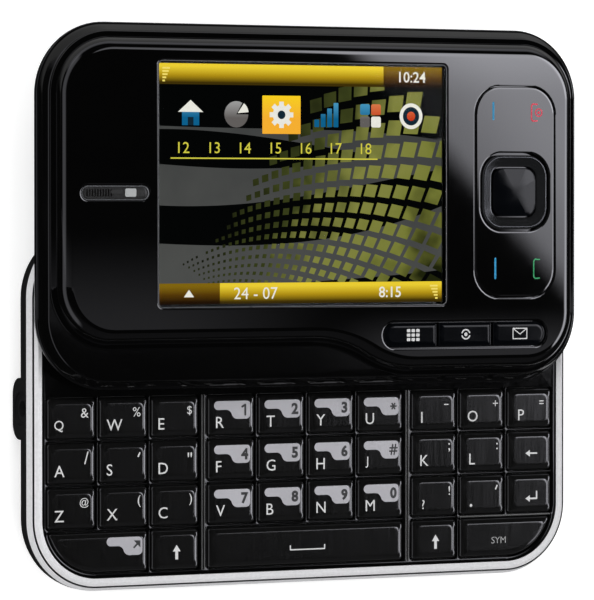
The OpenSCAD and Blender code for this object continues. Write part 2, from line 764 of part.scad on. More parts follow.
rear_shell();
battery_cover();
battery();
silver_frame();
keypad_frame();
key_mat();
main_board();
audio_jack();
data_socket();
camera_module();
volume_rocker();
slide_rails();
slide_carriage();
assist_spring();
slab_shell();
front_cover();
display_window();
display_module();
earpiece_grille();
nav_plate();
nav_ring();
centre_key();
shortcut_key(0);  // shortcut_key_left
shortcut_key(1);  // shortcut_key_middle
shortcut_key(2);  // shortcut_key_right
corner_keytop(0);  // key_fn
corner_keytop(1);  // key_symbol
for (k = KEYS) keytop(k);
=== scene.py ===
"""Looks of a landscape slider phone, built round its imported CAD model. Lengths are in mm unless said."""
from math import acos, asin, atan2, cos, degrees, pi, radians, sin

import bmesh
import bpy
from mathutils import Matrix, Vector
from mathutils.geometry import delaunay_2d_cdt


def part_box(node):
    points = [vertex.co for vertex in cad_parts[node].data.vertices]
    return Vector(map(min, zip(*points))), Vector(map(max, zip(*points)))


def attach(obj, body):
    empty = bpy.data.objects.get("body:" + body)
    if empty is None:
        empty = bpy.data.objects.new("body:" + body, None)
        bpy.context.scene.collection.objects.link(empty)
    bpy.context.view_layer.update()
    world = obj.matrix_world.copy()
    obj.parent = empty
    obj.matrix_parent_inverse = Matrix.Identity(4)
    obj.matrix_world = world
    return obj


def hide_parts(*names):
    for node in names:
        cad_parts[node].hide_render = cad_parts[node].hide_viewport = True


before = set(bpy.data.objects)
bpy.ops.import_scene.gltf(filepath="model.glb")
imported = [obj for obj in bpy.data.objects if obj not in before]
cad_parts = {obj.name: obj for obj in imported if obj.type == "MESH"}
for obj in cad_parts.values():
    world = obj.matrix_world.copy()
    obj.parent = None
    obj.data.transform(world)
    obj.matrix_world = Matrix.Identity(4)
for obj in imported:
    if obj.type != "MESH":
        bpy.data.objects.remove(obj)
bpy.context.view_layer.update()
MM = 0.001


def box(node):
    """Lowest and highest corner of a CAD node."""
    low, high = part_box(node)
    return low / MM, high / MM


def heights(node):
    """Lowest and highest point of a CAD node."""
    low, high = box(node)
    return low.z, high.z


def mid(node):
    """Middle of a CAD node in the plan."""
    low, high = box(node)
    return ((low.x + high.x) / 2, (low.y + high.y) / 2)


def span(node):
    """Length and width of a CAD node."""
    low, high = box(node)
    return high.x - low.x, high.y - low.y


# Sizes read from the frame
rim_low, rim_high = box("silver_frame")
case_low, case_high = box("slab_shell")
front_low, front_high = box("front_cover")
glass_low, glass_high = box("display_window")
HALF_L = case_high.x
HALF_W = (case_high.y - case_low.y) / 2
SLAB_Y = (case_high.y + case_low.y) / 2
BASE_TOP = rim_high.z
CASE_Z = case_low.z
PARTING_Z = front_low.z
FACE_Z = front_high.z
PARTING_IN = case_high.x - front_high.x

# Sizes that the frame's boxes don't give
CORNER_R = 11.5
EDGE_RISE = 1.95
LEDGE_H = 4.93
S_R = 17.6
S_START = -1.5
LIP = 0.9
FACE_IN = 3.1
COVER_WALL = 1.9
CASE_FLOOR = 0.6
ROOF_Z = FACE_Z - 1.5
POCKET_Z = FACE_Z - 1.15
CORNER_STEPS = 24
KEYS_IN = 2.75
KEY_GAP = 0.15
SEAT = 0.1


# Geometry helpers

def arc(centre, r, start, end, steps):
    """Points along an arc, both ends included."""
    turns = [radians(start + (end - start) * i / steps) for i in range(steps + 1)]
    return [(centre[0] + r * cos(t), centre[1] + r * sin(t)) for t in turns]


def moved(points, x, y):
    """Points shifted by x, y; on a profile, that is by inset and height."""
    return [(x + px, y + py) for px, py in points]


def round_rect(length, width, r, inset=0.0, centre=(0.0, 0.0), steps=8):
    """Outline of a rectangle with rounded corners, counter-clockwise, drawn in by inset."""
    x, y = length / 2 - r, width / 2 - r
    corners = moved(((x, y), (-x, y), (-x, -y), (x, -y)), *centre)
    return [p for i, corner in enumerate(corners) for p in arc(corner, r - inset, 90 * i, 90 * i + 90, steps)]


def rect(length, width, r, centre, steps=8):
    """Outline function of a rounded rectangle."""
    return lambda d: round_rect(length, width, r, d, centre, steps)


def stadium(length, width, centre):
    """Outline function of a bar with round ends."""
    reach = (length - width) / 2
    return lambda d: moved(arc((reach, 0), width / 2 - d, -90, 90, 20)
                           + arc((-reach, 0), width / 2 - d, 90, 270, 20), *centre)


def half_outline(inset, y=0.0):
    """Outline that both halves share."""
    return round_rect(2 * HALF_L, 2 * HALF_W, CORNER_R, inset, (0, y), CORNER_STEPS)


def cover_outline(d):
    """Outline of the front cover at the parting line, drawn in by d, with its S curve."""
    r = CORNER_R - PARTING_IN
    x, y = HALF_L - CORNER_R, HALF_W - CORNER_R
    low = -HALF_W + PARTING_IN
    turn = degrees(acos(1 - LEDGE_H / (2 * S_R)))
    s_end = S_START + 2 * S_R * sin(radians(turn))
    n = CORNER_STEPS
    first = arc((S_START, low + LEDGE_H - S_R), S_R + d, 90, 90 - turn, n)
    second = arc((s_end, low + S_R), S_R - d, 270 - turn, 270, n)
    return moved(arc((-x, low + LEDGE_H + r), r - d, 180, 270, n) + first[:-1] + second
                 + arc((x, -y), r - d, 270, 360, n) + arc((x, y), r - d, 0, 90, n)
                 + arc((-x, y), r - d, 90, 180, n), 0, SLAB_Y)


def ring(bm, outline, z):
    """Vertices of an outline at height z."""
    return [bm.verts.new((x, y, z)) for x, y in outline]


def bridge(bm, low, high):
    """Faces between two rings, outward when the outline is counter-clockwise and high is above."""
    n = len(low)
    for i in range(n):
        j = (i + 1) % n
        bm.faces.new((low[i], low[j], high[j], high[i]))


def skin(bm, profile, outline):
    """Rings at each [inset, height] of a profile, joined; returns the first and the last ring."""
    rings = [ring(bm, outline(d), z) for d, z in profile]
    for pair in zip(rings, rings[1:]):
        bridge(bm, *pair)
    return rings[0], rings[-1]


def paint(bm, start, index):
    """Gives the faces from a start on a material index."""
    bm.faces.ensure_lookup_table()
    for face in bm.faces[start:]:
        face.material_index = index


def stack(bm, profile, outline):
    """Closed solid on a profile that goes upwards."""
    low, high = skin(bm, profile, outline)
    bm.faces.new(low[::-1])
    bm.faces.new(high)


def sweep(bm, path, profile):
    """Solid ring: a closed profile of [inset, height] carried round path(inset)."""
    rings = [ring(bm, path(d), z) for d, z in profile]
    for pair in zip(rings, rings[1:] + rings[:1]):
        bridge(bm, *pair)


def inside(x, y, loop):
    """Whether a point lies inside a closed loop of vertices."""
    hit = False
    for first, second in zip(loop, loop[1:] + loop[:1]):
        ax, ay, bx, by = first.co.x, first.co.y, second.co.x, second.co.y
        if (ay > y) != (by > y) and x < ax + (y - ay) * (bx - ax) / (by - ay):
            hit = not hit
    return hit


def fill(bm, *loops, up=1):
    """Flat faces between a closed ring and the holes in it."""
    verts = [v for loop in loops for v in loop]
    edges, start = [], 0
    for loop in loops:
        edges += [(start + i, start + (i + 1) % len(loop)) for i in range(len(loop))]
        start += len(loop)
    made = delaunay_2d_cdt([v.co.xy for v in verts], edges, [], 1, 1e-6)
    for face in made[2]:
        corners = [verts[made[3][i][0]] for i in face]
        x, y = (sum(c.co[k] for c in corners) / 3 for k in (0, 1))
        if not any(inside(x, y, loop) for loop in loops[1:]):
            bm.faces.new(corners[::up])


def pocket(bm, outline, depth_z, top_z=FACE_Z, edge=0.12, through=False, flat=0.2):
    """A hole with a softened rim, down to depth_z; returns its upper ring and its lowest ring."""
    bend = [(-edge * d, -edge * z) for d, z in ((1, 0), (0.6, 0.08), (0.25, 0.3), (0.06, 0.62), (0, 1))]
    upper, floor = skin(bm, [(-edge - flat, top_z)] + moved(bend, 0, top_z) + [(0, depth_z)], outline)
    if not through:
        bm.faces.new(floor)
    return upper, floor


def quarter(d0, z0, d1, z1, steps=4):
    """Elliptical rounding from a wall at [d0, z0] into a flat at [d1, z1], as [inset, height]."""
    turns = [radians(90 * i / steps) for i in range(steps + 1)]
    return [(d0 + (d1 - d0) * (1 - cos(t)), z0 + (z1 - z0) * sin(t)) for t in turns]


def new_object(name, data):
    """New object in the scene."""
    obj = bpy.data.objects.new(name, data)
    bpy.context.scene.collection.objects.link(obj)
    return obj


def piece(name, bm, body, slot, *materials, replaces=(), sharp=35, weighted=True):
    """Turns a bmesh in mm into a smooth piece that rides on a body; edges past an angle stay sharp."""
    bmesh.ops.recalc_face_normals(bm, faces=bm.faces)
    bmesh.ops.scale(bm, vec=(MM, MM, MM), verts=bm.verts)
    mesh = bpy.data.meshes.new(name)
    bm.to_mesh(mesh)
    bm.free()
    for material in materials:
        mesh.materials.append(material)
    mesh.shade_smooth()
    mesh.set_sharp_from_angle(angle=radians(sharp))
    obj = new_object(name, mesh)
    if weighted:
        normals = obj.modifiers.new("normals", "WEIGHTED_NORMAL")
        normals.keep_sharp = True
        normals.weight = 80
    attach(obj, body)
    if replaces:
        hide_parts(*replaces)


def print_piece(name, bm, body, slot, *materials):
    """Printed marks: flat solids on a face."""
    piece(name, bm, body, slot, *materials, sharp=20, weighted=False)


def dress(node, material, bevel=0.0):
    """Gives a CAD node its material and, with a bevel, softened edges."""
    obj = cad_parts[node]
    obj.data.materials.clear()
    obj.data.materials.append(material)
    if bevel:
        weld = obj.modifiers.new("weld", "WELD")
        weld.merge_threshold = 0.001 * MM
        edges = obj.modifiers.new("edges", "BEVEL")
        edges.width = bevel * MM
        edges.segments = 3
        edges.limit_method = "ANGLE"
        edges.angle_limit = radians(40)
        edges.harden_normals = True


def slab(bm, points, low_z, high_z, index=0):
    """Thin straight solid on a list of points, with a material index."""
    start = len(bm.faces)
    stack(bm, [(0, low_z), (0, high_z)], lambda d: points)
    paint(bm, start, index)


def letters(bm, text, height, place, z, anchor=(0, 0), index=0, thick=0.02, weight=0.0):
    """Adds lettering of a given height in mm; anchor is the part of its box that lies on place."""
    curve = bpy.data.curves.new("letters", "FONT")
    curve.body = text
    curve.resolution_u = 3
    curve.offset = weight
    curve.extrude = 0.5
    maker = new_object("letters", curve)
    bpy.context.view_layer.update()
    mesh = bpy.data.meshes.new_from_object(maker.evaluated_get(bpy.context.evaluated_depsgraph_get()))
    bpy.data.objects.remove(maker)
    bpy.data.curves.remove(curve)
    made = bmesh.new()
    made.from_mesh(mesh)
    bmesh.ops.remove_doubles(made, verts=made.verts, dist=1e-5)
    xs, ys = [v.co.x for v in made.verts], [v.co.y for v in made.verts]
    size = height / (max(ys) - min(ys))
    wide = (max(xs) - min(xs)) * size
    for v in made.verts:
        v.co = Vector((place[0] + (v.co.x - min(xs)) * size - anchor[0] * wide,
                       place[1] + (v.co.y - min(ys)) * size - anchor[1] * height,
                       z + (v.co.z + 0.5) * thick))
    for face in made.faces:
        face.material_index = index
    made.to_mesh(mesh)
    made.free()
    bm.from_mesh(mesh)
    bpy.data.meshes.remove(mesh)


def stroke(bm, points, width, z, index=0, thick=0.02):
    """A line of even width through points, with round ends and corners; each part is a little thicker."""
    for (ax, ay), (bx, by) in zip(points, points[1:]):
        turn = degrees(atan2(by - ay, bx - ax))
        shape = (arc((bx, by), width / 2, turn - 90, turn + 90, 5)
                 + arc((ax, ay), width / 2, turn + 90, turn + 270, 5))
        slab(bm, shape, z, z + thick, index)
        thick += 0.001


# Materials

def linear(value):
    """Linear value of an 8-bit sRGB one."""
    v = value / 255
    return v / 12.92 if v <= 0.04045 else ((v + 0.055) / 1.055) ** 2.4


def colour(shade):
    """Linear RGBA of an 8-bit sRGB colour, or of one grey."""
    rgb = shade if isinstance(shade, tuple) else (shade,) * 3
    return (*map(linear, rgb), 1.0)


def shades(base, dark, light):
    """A darker and a lighter version of an sRGB colour."""
    return [tuple(min(1.0, c * k) for c in colour(base)[:3]) + (1.0,) for k in (dark, light)]


class Nodes:
    """Puts a node tree together. A value is a number, a colour or another node's output."""

    def __init__(self, tree):
        self.tree = tree

    def add(self, kind, **settings):
        node = self.tree.nodes.new("ShaderNode" + kind)
        for key, value in settings.items():
            setattr(node, key, value)
        return node

    def wire(self, value, socket):
        """Links an output to a socket, or sets the socket's own value."""
        if isinstance(value, bpy.types.NodeSocket):
            self.tree.links.new(value, socket)
        else:
            socket.default_value = value

    def fed(self, kind, inputs, output=0, **settings):
        """Output of a new node whose sockets get the given values."""
        node = self.add(kind, **settings)
        for key, value in inputs.items():
            self.wire(value, node.inputs[key])
        return node.outputs[output]

    def maths(self, operation, *values):
        return self.fed("Math", dict(enumerate(values)), operation=operation)

    def ranged(self, source, start, end, low=0.0, high=1.0, kind="LINEAR"):
        """Maps start..end of a source to low..high."""
        return self.fed("MapRange", dict(enumerate((source, start, end, low, high))),
                        "Result", interpolation_type=kind)

    def mixed(self, factor, first, second):
        """Mixes two colours."""
        return self.fed("Mix", {0: factor, 6: first, 7: second}, 2, data_type="RGBA")


class Surface(Nodes):
    """A Principled material."""

    def __init__(self, name):
        self.material = bpy.data.materials.new(name)
        self.material.use_nodes = True
        super().__init__(self.material.node_tree)
        self.shader = self.tree.nodes["Principled BSDF"]
        self.place = self.add("TexCoord").outputs["Object"]

    def noise(self, scale_mm, detail, stretch=(1, 1, 1)):
        """Noise whose features are about scale_mm wide."""
        scale = [s / (scale_mm * MM) for s in stretch]
        place = self.fed("Mapping", {"Vector": self.place, "Scale": scale})
        return self.fed("TexNoise", {"Vector": place, "Scale": 1.0, "Detail": detail}, "Fac")

    def spread(self, noise, low, high):
        """Maps the usual range of a noise to low..high."""
        return self.ranged(noise, 0.3, 0.7, low, high)

    def relief(self, source, depth_mm):
        """Bumped normal from a 0..1 source."""
        return self.fed("Bump", {"Strength": 1.0, "Distance": depth_mm * MM, "Height": source})

    def set(self, **values):
        """Gives the shader's sockets their values; an underscore stands for a space."""
        for key, value in values.items():
            self.wire(value, self.shader.inputs[key.replace("_", " ")])
        return self.material


def plastic(name, base, rough, grain=0.25, depth=0.004, vary=0.12, patch=9.0, spread=0.06, shine=0.5,
            streak=(1, 1, 1)):
    """Moulded plastic: grain is the width of its texture in mm, patch that of its clouds of colour."""
    s = Surface(name)
    tone = s.spread(s.noise(patch, 2, streak), 0, 1)
    return s.set(Base_Color=s.mixed(tone, *shades(base, 1 - vary, 1 + vary)),
                 Roughness=s.spread(s.noise(grain * 6, 4, streak), rough - spread, rough + spread),
                 Normal=s.relief(s.noise(grain, 2), depth), Specular_IOR_Level=shine)


def ink(name, base, rough=0.5, vary=0.12):
    """Printed ink, with a fine grain."""
    return plastic(name, base, rough, grain=0.1, depth=0.001, vary=vary)


def metal(name, base, rough, brushed=(1, 1, 1), metallic=1.0, spread=0.07, depth=0.003, grain=0.3,
          shine=0.5):
    """Metal or metallic paint, brushed along the axis with the smallest stretch."""
    s = Surface(name)
    lines = s.noise(grain, 3, brushed)
    return s.set(Base_Color=s.mixed(s.spread(lines, 0, 1), *shades(base, 0.9, 1)),
                 Roughness=s.spread(s.noise(grain * 8, 3, brushed), rough - spread, rough + spread),
                 Normal=s.relief(lines, depth), Metallic=metallic, Specular_IOR_Level=shine)


def lit(s, emission):
    """Gives a surface only its own light, as a part of the display's picture."""
    return s.set(Emission_Color=emission, Emission_Strength=1.0, Base_Color=(0, 0, 0, 1), Roughness=0.5,
                 Specular_IOR_Level=0.0)


def glow(name, shade):
    """Lit part of the display in one colour, with a faint unevenness."""
    s = Surface(name)
    return lit(s, s.mixed(s.spread(s.noise(0.6, 1), 0, 1), *shades(shade, 0.94, 1)))


def fade(name, axis, start, end, *stops, vary=0.0):
    """Lit part of the display whose colour changes along an axis, from start to end in mm."""
    s = Surface(name)
    along = s.fed("VectorMath", {0: s.place, 1: (axis[0] / MM, axis[1] / MM, 0)}, "Value",
                  operation="DOT_PRODUCT")
    along = s.ranged(along, start, end)
    if vary:
        along = s.maths("ADD", along, s.spread(s.noise(5, 2), -vary, vary))
    ramp = s.add("ValToRGB")
    bands = ramp.color_ramp.elements
    for i, (place, shade) in enumerate(stops):
        band = bands[i] if i < 2 else bands.new(place)
        band.position = place
        band.color = colour(shade)
    s.wire(along, ramp.inputs[0])
    return lit(s, ramp.outputs["Color"])


GLOSS = plastic("gloss_black", 3, 0.02, grain=0.5, depth=0.00005, spread=0.004)
CASING = plastic("casing_black", 4, 0.075, grain=0.12, depth=0.0002, spread=0.012, shine=0.34)
SHELL = plastic("shell_black", 26, 0.42, grain=0.1)
COVER = plastic("cover_black", 22, 0.36, grain=0.1, depth=0.003)
KEY = plastic("key_plastic", 14, 0.11, grain=0.05, depth=0.0001, spread=0.02, shine=0.45,
              vary=0.45, patch=0.16, streak=(1, 0.05, 1))
DECK = plastic("deck_plastic", 4, 0.08, grain=0.15, depth=0.0005, spread=0.02, shine=0.22)
# Dark plastic on the silver frame's groove and inner wall: painted shade
GROOVE_SHADE = plastic("groove_painted_shade", 24, 0.5)
# Light grey for the keypad's ribs: painted highlight along them
RIB_HIGHLIGHT = plastic("rib_painted_highlight", 84, 0.3, grain=0.15, depth=0.0008, spread=0.03)
JACK = plastic("jack_plastic", 28, 0.4)
RUBBER = plastic("key_rubber", 60, 0.7, grain=0.2, depth=0.01)
BOARD = plastic("circuit_board", (14, 70, 44), 0.4, grain=0.6, depth=0.01)
WRAP = plastic("battery_wrap", (150, 152, 156), 0.45, grain=0.3)
GRILLE = plastic("grille_black", 34, 0.2, grain=0.15, depth=0.0006, spread=0.03, shine=0.12)
SIDE_GLOSS = plastic("key_gloss", (4, 5, 7), 0.08, grain=0.5, depth=0.0002, spread=0.02, shine=0.1)
LENS = plastic("camera_lens", (10, 12, 24), 0.04, grain=0.5, depth=0.0001, spread=0.006)
GREY_PART = plastic("grey_part", 40, 0.3, grain=0.1, depth=0.001, shine=0.1)
BRIGHT_PART = plastic("sensor_window", (150, 152, 152), 0.25, grain=0.4, depth=0.001)
RIM = plastic("rim_line", (64, 65, 67), 0.3, grain=0.4, depth=0.0005)

LEGEND = ink("legend_ink", 196, vary=0.04)
LEGEND_DIM = ink("legend_dim", 140, vary=0.04)
PATCH = ink("patch_ink", (158, 157, 162), 0.45, vary=0.05)
PATCH_INK = ink("patch_legend", 30)
MARK_BLUE = ink("mark_blue", (28, 128, 172))
MARK_RED = ink("mark_red", (196, 52, 72))
MARK_GREEN = ink("mark_green", (30, 132, 80))

SILVER = metal("silver_paint", (215, 215, 217), 0.3, metallic=0.05, grain=0.5, depth=0.0002,
               spread=0.03, shine=0.15)
STEEL = metal("slide_steel", (170, 172, 176), 0.32, brushed=(0.08, 1, 1), grain=0.2)
SPRING = metal("spring_steel", (190, 190, 195), 0.22)
SOCKET = metal("socket_steel", (150, 150, 154), 0.35, metallic=0.35, grain=0.5, depth=0.0005)
CHROME = metal("dark_chrome", (56, 57, 59), 0.2, metallic=0.8, grain=0.4, depth=0.0002, spread=0.03)

# The display's picture: its area inside the window, the height of its bars and the step of its layers
LCD_Z = glass_low.z - 0.046
LCD = (glass_low.x + 0.42, glass_low.y + 0.52, glass_high.x - 0.42, glass_high.y - 0.42)
BAR_H = 3.3
LAYER = 0.006


def bar_fade(name, edge, middle, foot):
    """Gold or brown bar: bright along its top, dark at its foot, the same in both bars."""
    low, high = LCD[1], LCD[3]
    stops = [(0.0, foot), (1.0, edge)]
    for start in (low, high - BAR_H):
        stops += [((start - low + BAR_H * part) / (high - low), shade)
                  for part, shade in ((0.1, foot), (0.45, middle), (0.85, edge), (0.99, edge))]
    return fade(name, (0, 1), low, high, *stops)


LCD_GROUND = glow("lcd_ground", (4, 5, 5))
LCD_BAND = fade("lcd_band", (0.2, 0.98), 16, 52, (0, (76, 77, 75)), (1, (60, 61, 61)), vary=0.15)
LCD_MOTIF = fade("lcd_motif", (0.86, -0.5), -34, 8, (0, (20, 22, 12)), (1, (30, 34, 12)), (0.3, (58, 64, 28)),
                 (0.55, (128, 130, 64)), (0.75, (118, 122, 54)), vary=0.1)
LCD_GOLD = bar_fade("lcd_gold", (236, 206, 52), (180, 146, 22), (58, 44, 8))
LCD_BROWN = bar_fade("lcd_brown", (128, 100, 16), (84, 56, 8), (30, 16, 4))
LCD_PICKED = fade("lcd_picked", (0, 1), 46, 52, (0.0, (248, 176, 50)), (1.0, (252, 226, 10)))
LCD_WHITE = glow("lcd_white", (238, 236, 226))
LCD_PALE = glow("lcd_pale", (248, 226, 110))
LCD_YELLOW = glow("lcd_yellow", (216, 208, 72))
LCD_BLUE = fade("lcd_blue", (0, 1), 46, 51, (0.0, (14, 96, 140)), (1.0, (96, 186, 226)))
LCD_GREY = fade("lcd_grey", (0, 1), 46, 51, (0.0, (98, 94, 92)), (1.0, (196, 196, 196)))
LCD_DARK = glow("lcd_dark", (20, 40, 52))
LCD_RED = fade("lcd_red", (0, 1), 46, 51, (0.0, (196, 52, 20)), (1.0, (240, 160, 100)))


def make_glass():
    """Clear window with a weak reflection, as a coated one has."""
    s = Surface("window_glass")
    return s.set(Base_Color=(0.97, 0.98, 0.98, 1.0), Transmission_Weight=1.0, IOR=1.08,
                 Roughness=s.spread(s.noise(7, 2), 0.0, 0.02))


GLASS = make_glass()


# Screen half

NAV, EAR, GLASS_C = mid("nav_plate"), mid("earpiece_grille"), mid("display_window")
NAV_L, NAV_W = span("nav_plate")
EAR_L, EAR_W = span("earpiece_grille")
GLASS_L, GLASS_W = span("display_window")
PILL_LOW, PILL_HIGH = box("shortcut_key_left")[0].x, box("shortcut_key_right")[1].x
PILL_W = span("shortcut_key_middle")[1]
PILL = ((PILL_HIGH + PILL_LOW) / 2, mid("shortcut_key_middle")[1])
FRONT_GAP = 0.2
NAV_R = 4.5
RING_R = 3.6
CENTRE_R = 1.9
GROOVE_SOFT = 0.1
PRINT_SINK = 0.006


def front_cover():
    """Glossy cover: a lip, a roll that ends in a soft crease, and a flat face with its pockets."""
    bm = bmesh.new()
    edge, lip_z = 0.12, PARTING_Z + 0.42
    roll_z = lip_z + 0.06
    crease, sag, first, last = 0.46, 0.03, radians(25), radians(78)
    reach = (FACE_IN - crease - LIP) / (sin(last) - sin(first))
    drop = (FACE_Z - sag - roll_z) / (cos(first) - cos(last))
    profile = ([(COVER_WALL, ROOF_Z), (COVER_WALL, PARTING_Z), (edge / 2, PARTING_Z)]
               + quarter(0, PARTING_Z + 0.04, edge, PARTING_Z + 0.3)
               + [(0.4, lip_z - 0.06), (LIP - 0.1, lip_z - 0.01), (LIP, roll_z)])
    for i in [*range(15, 0, -1), 0.12, 0]:
        t = first + (last - first) * i / 16
        profile.append((FACE_IN - crease - reach * (sin(t) - sin(first)),
                        FACE_Z - sag - drop * (cos(first) - cos(t))))
    profile += [(FACE_IN - crease * i / 5, FACE_Z - sag * (i / 5) ** 2) for i in (4.8, 4, 3, 2, 1, 0)]
    profile.append((FACE_IN + 0.15, FACE_Z))
    inner, outer = skin(bm, profile, cover_outline)
    gap = 2 * FRONT_GAP
    window, window_low = pocket(bm, rect(GLASS_L + 0.1, GLASS_W + 0.1, 0.85, GLASS_C), ROOF_Z, through=True)
    nav, _ = pocket(bm, rect(NAV_L + gap, NAV_W + gap, NAV_R + FRONT_GAP, NAV), POCKET_Z, edge=0.05)
    pill, _ = pocket(bm, stadium(PILL_HIGH - PILL_LOW + gap, PILL_W + gap, PILL), POCKET_Z)
    ear, _ = pocket(bm, stadium(EAR_L + 0.1, EAR_W + 0.1, EAR), POCKET_Z)
    fill(bm, outer, window, nav, pill, ear)
    fill(bm, inner, window_low, up=-1)
    piece("front_cover_gloss", bm, "screen", "black_gloss", GLOSS, replaces=["front_cover"])


def casing():
    """Lower casing of the screen half, hollow, with a ledge line and a floor window for the slide."""
    bm = bmesh.new()
    edge_z, floor_z = CASE_Z + EDGE_RISE, CASE_Z + CASE_FLOOR
    cavity_z = box("display_module")[0].z + 0.7
    ledge_in, ledge_z = 0.32, edge_z + 0.3
    slope = (PARTING_Z - ledge_z) / (PARTING_IN - ledge_in)
    outer = moved(((1.25, 0), (1.05, 0.03), (0.72, 0.16), (0.45, 0.36), (0.24, 0.65), (0.1, 1.08),
                   (0.02, 1.55)), 0, CASE_Z)
    outer += moved(((0, -0.15), (0.02, -0.05), (0.05, 0), (0.09, 0.04), (0.15, 0.1), (0.17, 0.11),
                    (0.36, 0.17), (0.38, 0.19)), 0, edge_z)
    outer += [(d, ledge_z + (d - ledge_in) * slope) for d in (0.41, 0.75, PARTING_IN - 0.2)]
    outer += [(PARTING_IN - 0.04, PARTING_Z - 0.09), (PARTING_IN + 0.1, PARTING_Z)]
    half = lambda d: half_outline(d, SLAB_Y)
    low, top = skin(bm, outer, half)
    mouth = skin(bm, [(1.3, cavity_z), (1.3, PARTING_Z)], cover_outline)
    cavity = skin(bm, [(2.2, floor_z), (2.2, cavity_z)], half)
    length, width = span("slide_carriage")
    opening = skin(bm, [(0, CASE_Z), (0, floor_z)], rect(length - 4, width - 2, 2.5, (0, SLAB_Y)))
    fill(bm, top, mouth[1])
    fill(bm, cavity[1], mouth[0], up=-1)
    fill(bm, cavity[0], opening[1])
    fill(bm, low, opening[0], up=-1)
    piece("screen_casing", bm, "screen", "black_casing", CASING, replaces=["slab_shell"])


def nav_plate():
    """Plate with a rounded outer edge and a soft edge round the ring's hole."""
    low, high = heights("nav_plate")
    hole = span("nav_ring")[0] + 4 * FRONT_GAP
    bm = bmesh.new()
    profile = [(0, low)] + quarter(0, high - GROOVE_SOFT, GROOVE_SOFT, high) + [(GROOVE_SOFT + 0.25, high)]
    outer = skin(bm, profile, rect(NAV_L, NAV_W, NAV_R, NAV, 12))
    upper, lower = pocket(bm, rect(hole, hole, RING_R + 2 * FRONT_GAP, NAV, 12), low, high, GROOVE_SOFT, True)
    fill(bm, outer[1], upper)
    fill(bm, outer[0], lower, up=-1)
    piece("nav_plate_gloss", bm, "nav_plate", "black_gloss", GLOSS, replaces=["nav_plate"])


def nav_ring():
    """Ring with a crisp outer rim that slopes in to the centre key."""
    low, high = heights("nav_ring")
    size = span("nav_ring")[0]
    width = (size - span("centre_key")[0]) / 2 - FRONT_GAP
    rim = moved(((0, -0.26), (0.05, -0.14), (0.16, -0.04), (0.3, 0), (0.42, -0.01), (0.55, -0.05)), 0, high)
    slope = moved(((-0.4, -0.3), (-0.2, -0.36), (-0.05, -0.46), (0, -0.6)), width, high)
    bm = bmesh.new()
    sweep(bm, rect(size, size, RING_R, NAV, 12), [(0, low)] + rim + slope + [(width, low)])
    piece("nav_ring_chrome", bm, "nav_ring", "dark_chrome", CHROME, replaces=["nav_ring"])


def centre_key():
    """Centre key with a slightly domed top."""
    low, high = heights("centre_key")
    half, edge, bend = span("centre_key")[0] / 2, 0.16, 0.0075
    outline = lambda d: round_rect(2 * (half - d), 2 * (half - d), CENTRE_R * (1 - d / half) + 0.02, 0, NAV, 12)
    profile = [(0, low)] + quarter(0, high - edge, edge, high, 5)
    profile += [(edge + (half - edge) * i / 9, high) for i in range(1, 9)]
    bm = bmesh.new()
    stack(bm, profile, outline)
    for v in bm.verts:
        if v.co.z > low + 0.1:
            v.co.z -= bend * ((v.co.x - NAV[0]) ** 2 + (v.co.y - NAV[1]) ** 2)
    piece("centre_key_gloss", bm, "centre_key", "black_gloss", SIDE_GLOSS, replaces=["centre_key"])


def shortcut(side):
    """One of the three keys in the pill, with a pillowed top and its mark."""
    node = "shortcut_key_" + side
    (low, high), (x, y) = box(node), mid(node)
    r, corner, soft, reach, top = span(node)[1] / 2, 0.28, 0.35, 0.75, high.z - 0.02

    def outline(d):
        x0, x1, y0, y1 = low.x + d, high.x - d, y - r + d, y + r - d
        left = (arc((x0 + corner, y1 - corner), corner, 90, 180, 4)
                + arc((x0 + corner, y0 + corner), corner, 180, 270, 4))
        right = (arc((x1 - corner, y0 + corner), corner, -90, 0, 4)
                 + arc((x1 - corner, y1 - corner), corner, 0, 90, 4))
        if side == "left":
            left = arc((x0 + r - d, y), r - d, 90, 270, 16)
        if side == "right":
            right = arc((x1 - r + d, y), r - d, -90, 90, 16)
        return left + right

    profile = [(0, low.z), (0, top - soft)]
    for angle in (8, 17, 27, 38, 50, 63, 76, 90):
        t = radians(angle)
        profile.append((reach * (1 - cos(t)), top - soft + soft * sin(t)))
    bm = bmesh.new()
    stack(bm, profile + [(0.9, top)], outline)
    piece(node + "_gloss", bm, node, "black_gloss", SIDE_GLOSS, replaces=[node])

    bm = bmesh.new()
    z = top - PRINT_SINK
    if side == "left":
        for k in (-1, 0, 1):
            for j in (-1, 0, 1):
                slab(bm, round_rect(0.62, 0.5, 0.1, 0, (x + 0.4 + 0.85 * k, y + 0.72 * j), 3), z, z + 0.016)
    elif side == "middle":
        for k, (start, end) in enumerate(((200, 340), (20, 160))):
            stroke(bm, arc((x, y), 0.75, start, end, 8), 0.22, z, thick=0.012 + 0.002 * k)
        slab(bm, arc((x, y), 0.3, 0, 345, 14), z, z + 0.016)
    else:
        edge = ((-1.3, -0.85), (1.3, -0.85), (1.3, 0.85), (-1.3, 0.85), (-1.3, -0.85))
        stroke(bm, moved(edge, x, y), 0.16, z, thick=0.01)
        stroke(bm, moved(((-1.3, 0.85), (0, -0.1), (1.3, 0.85)), x, y), 0.15, z, thick=0.016)
    print_piece(node + "_print", bm, node, "black_gloss", LEGEND)


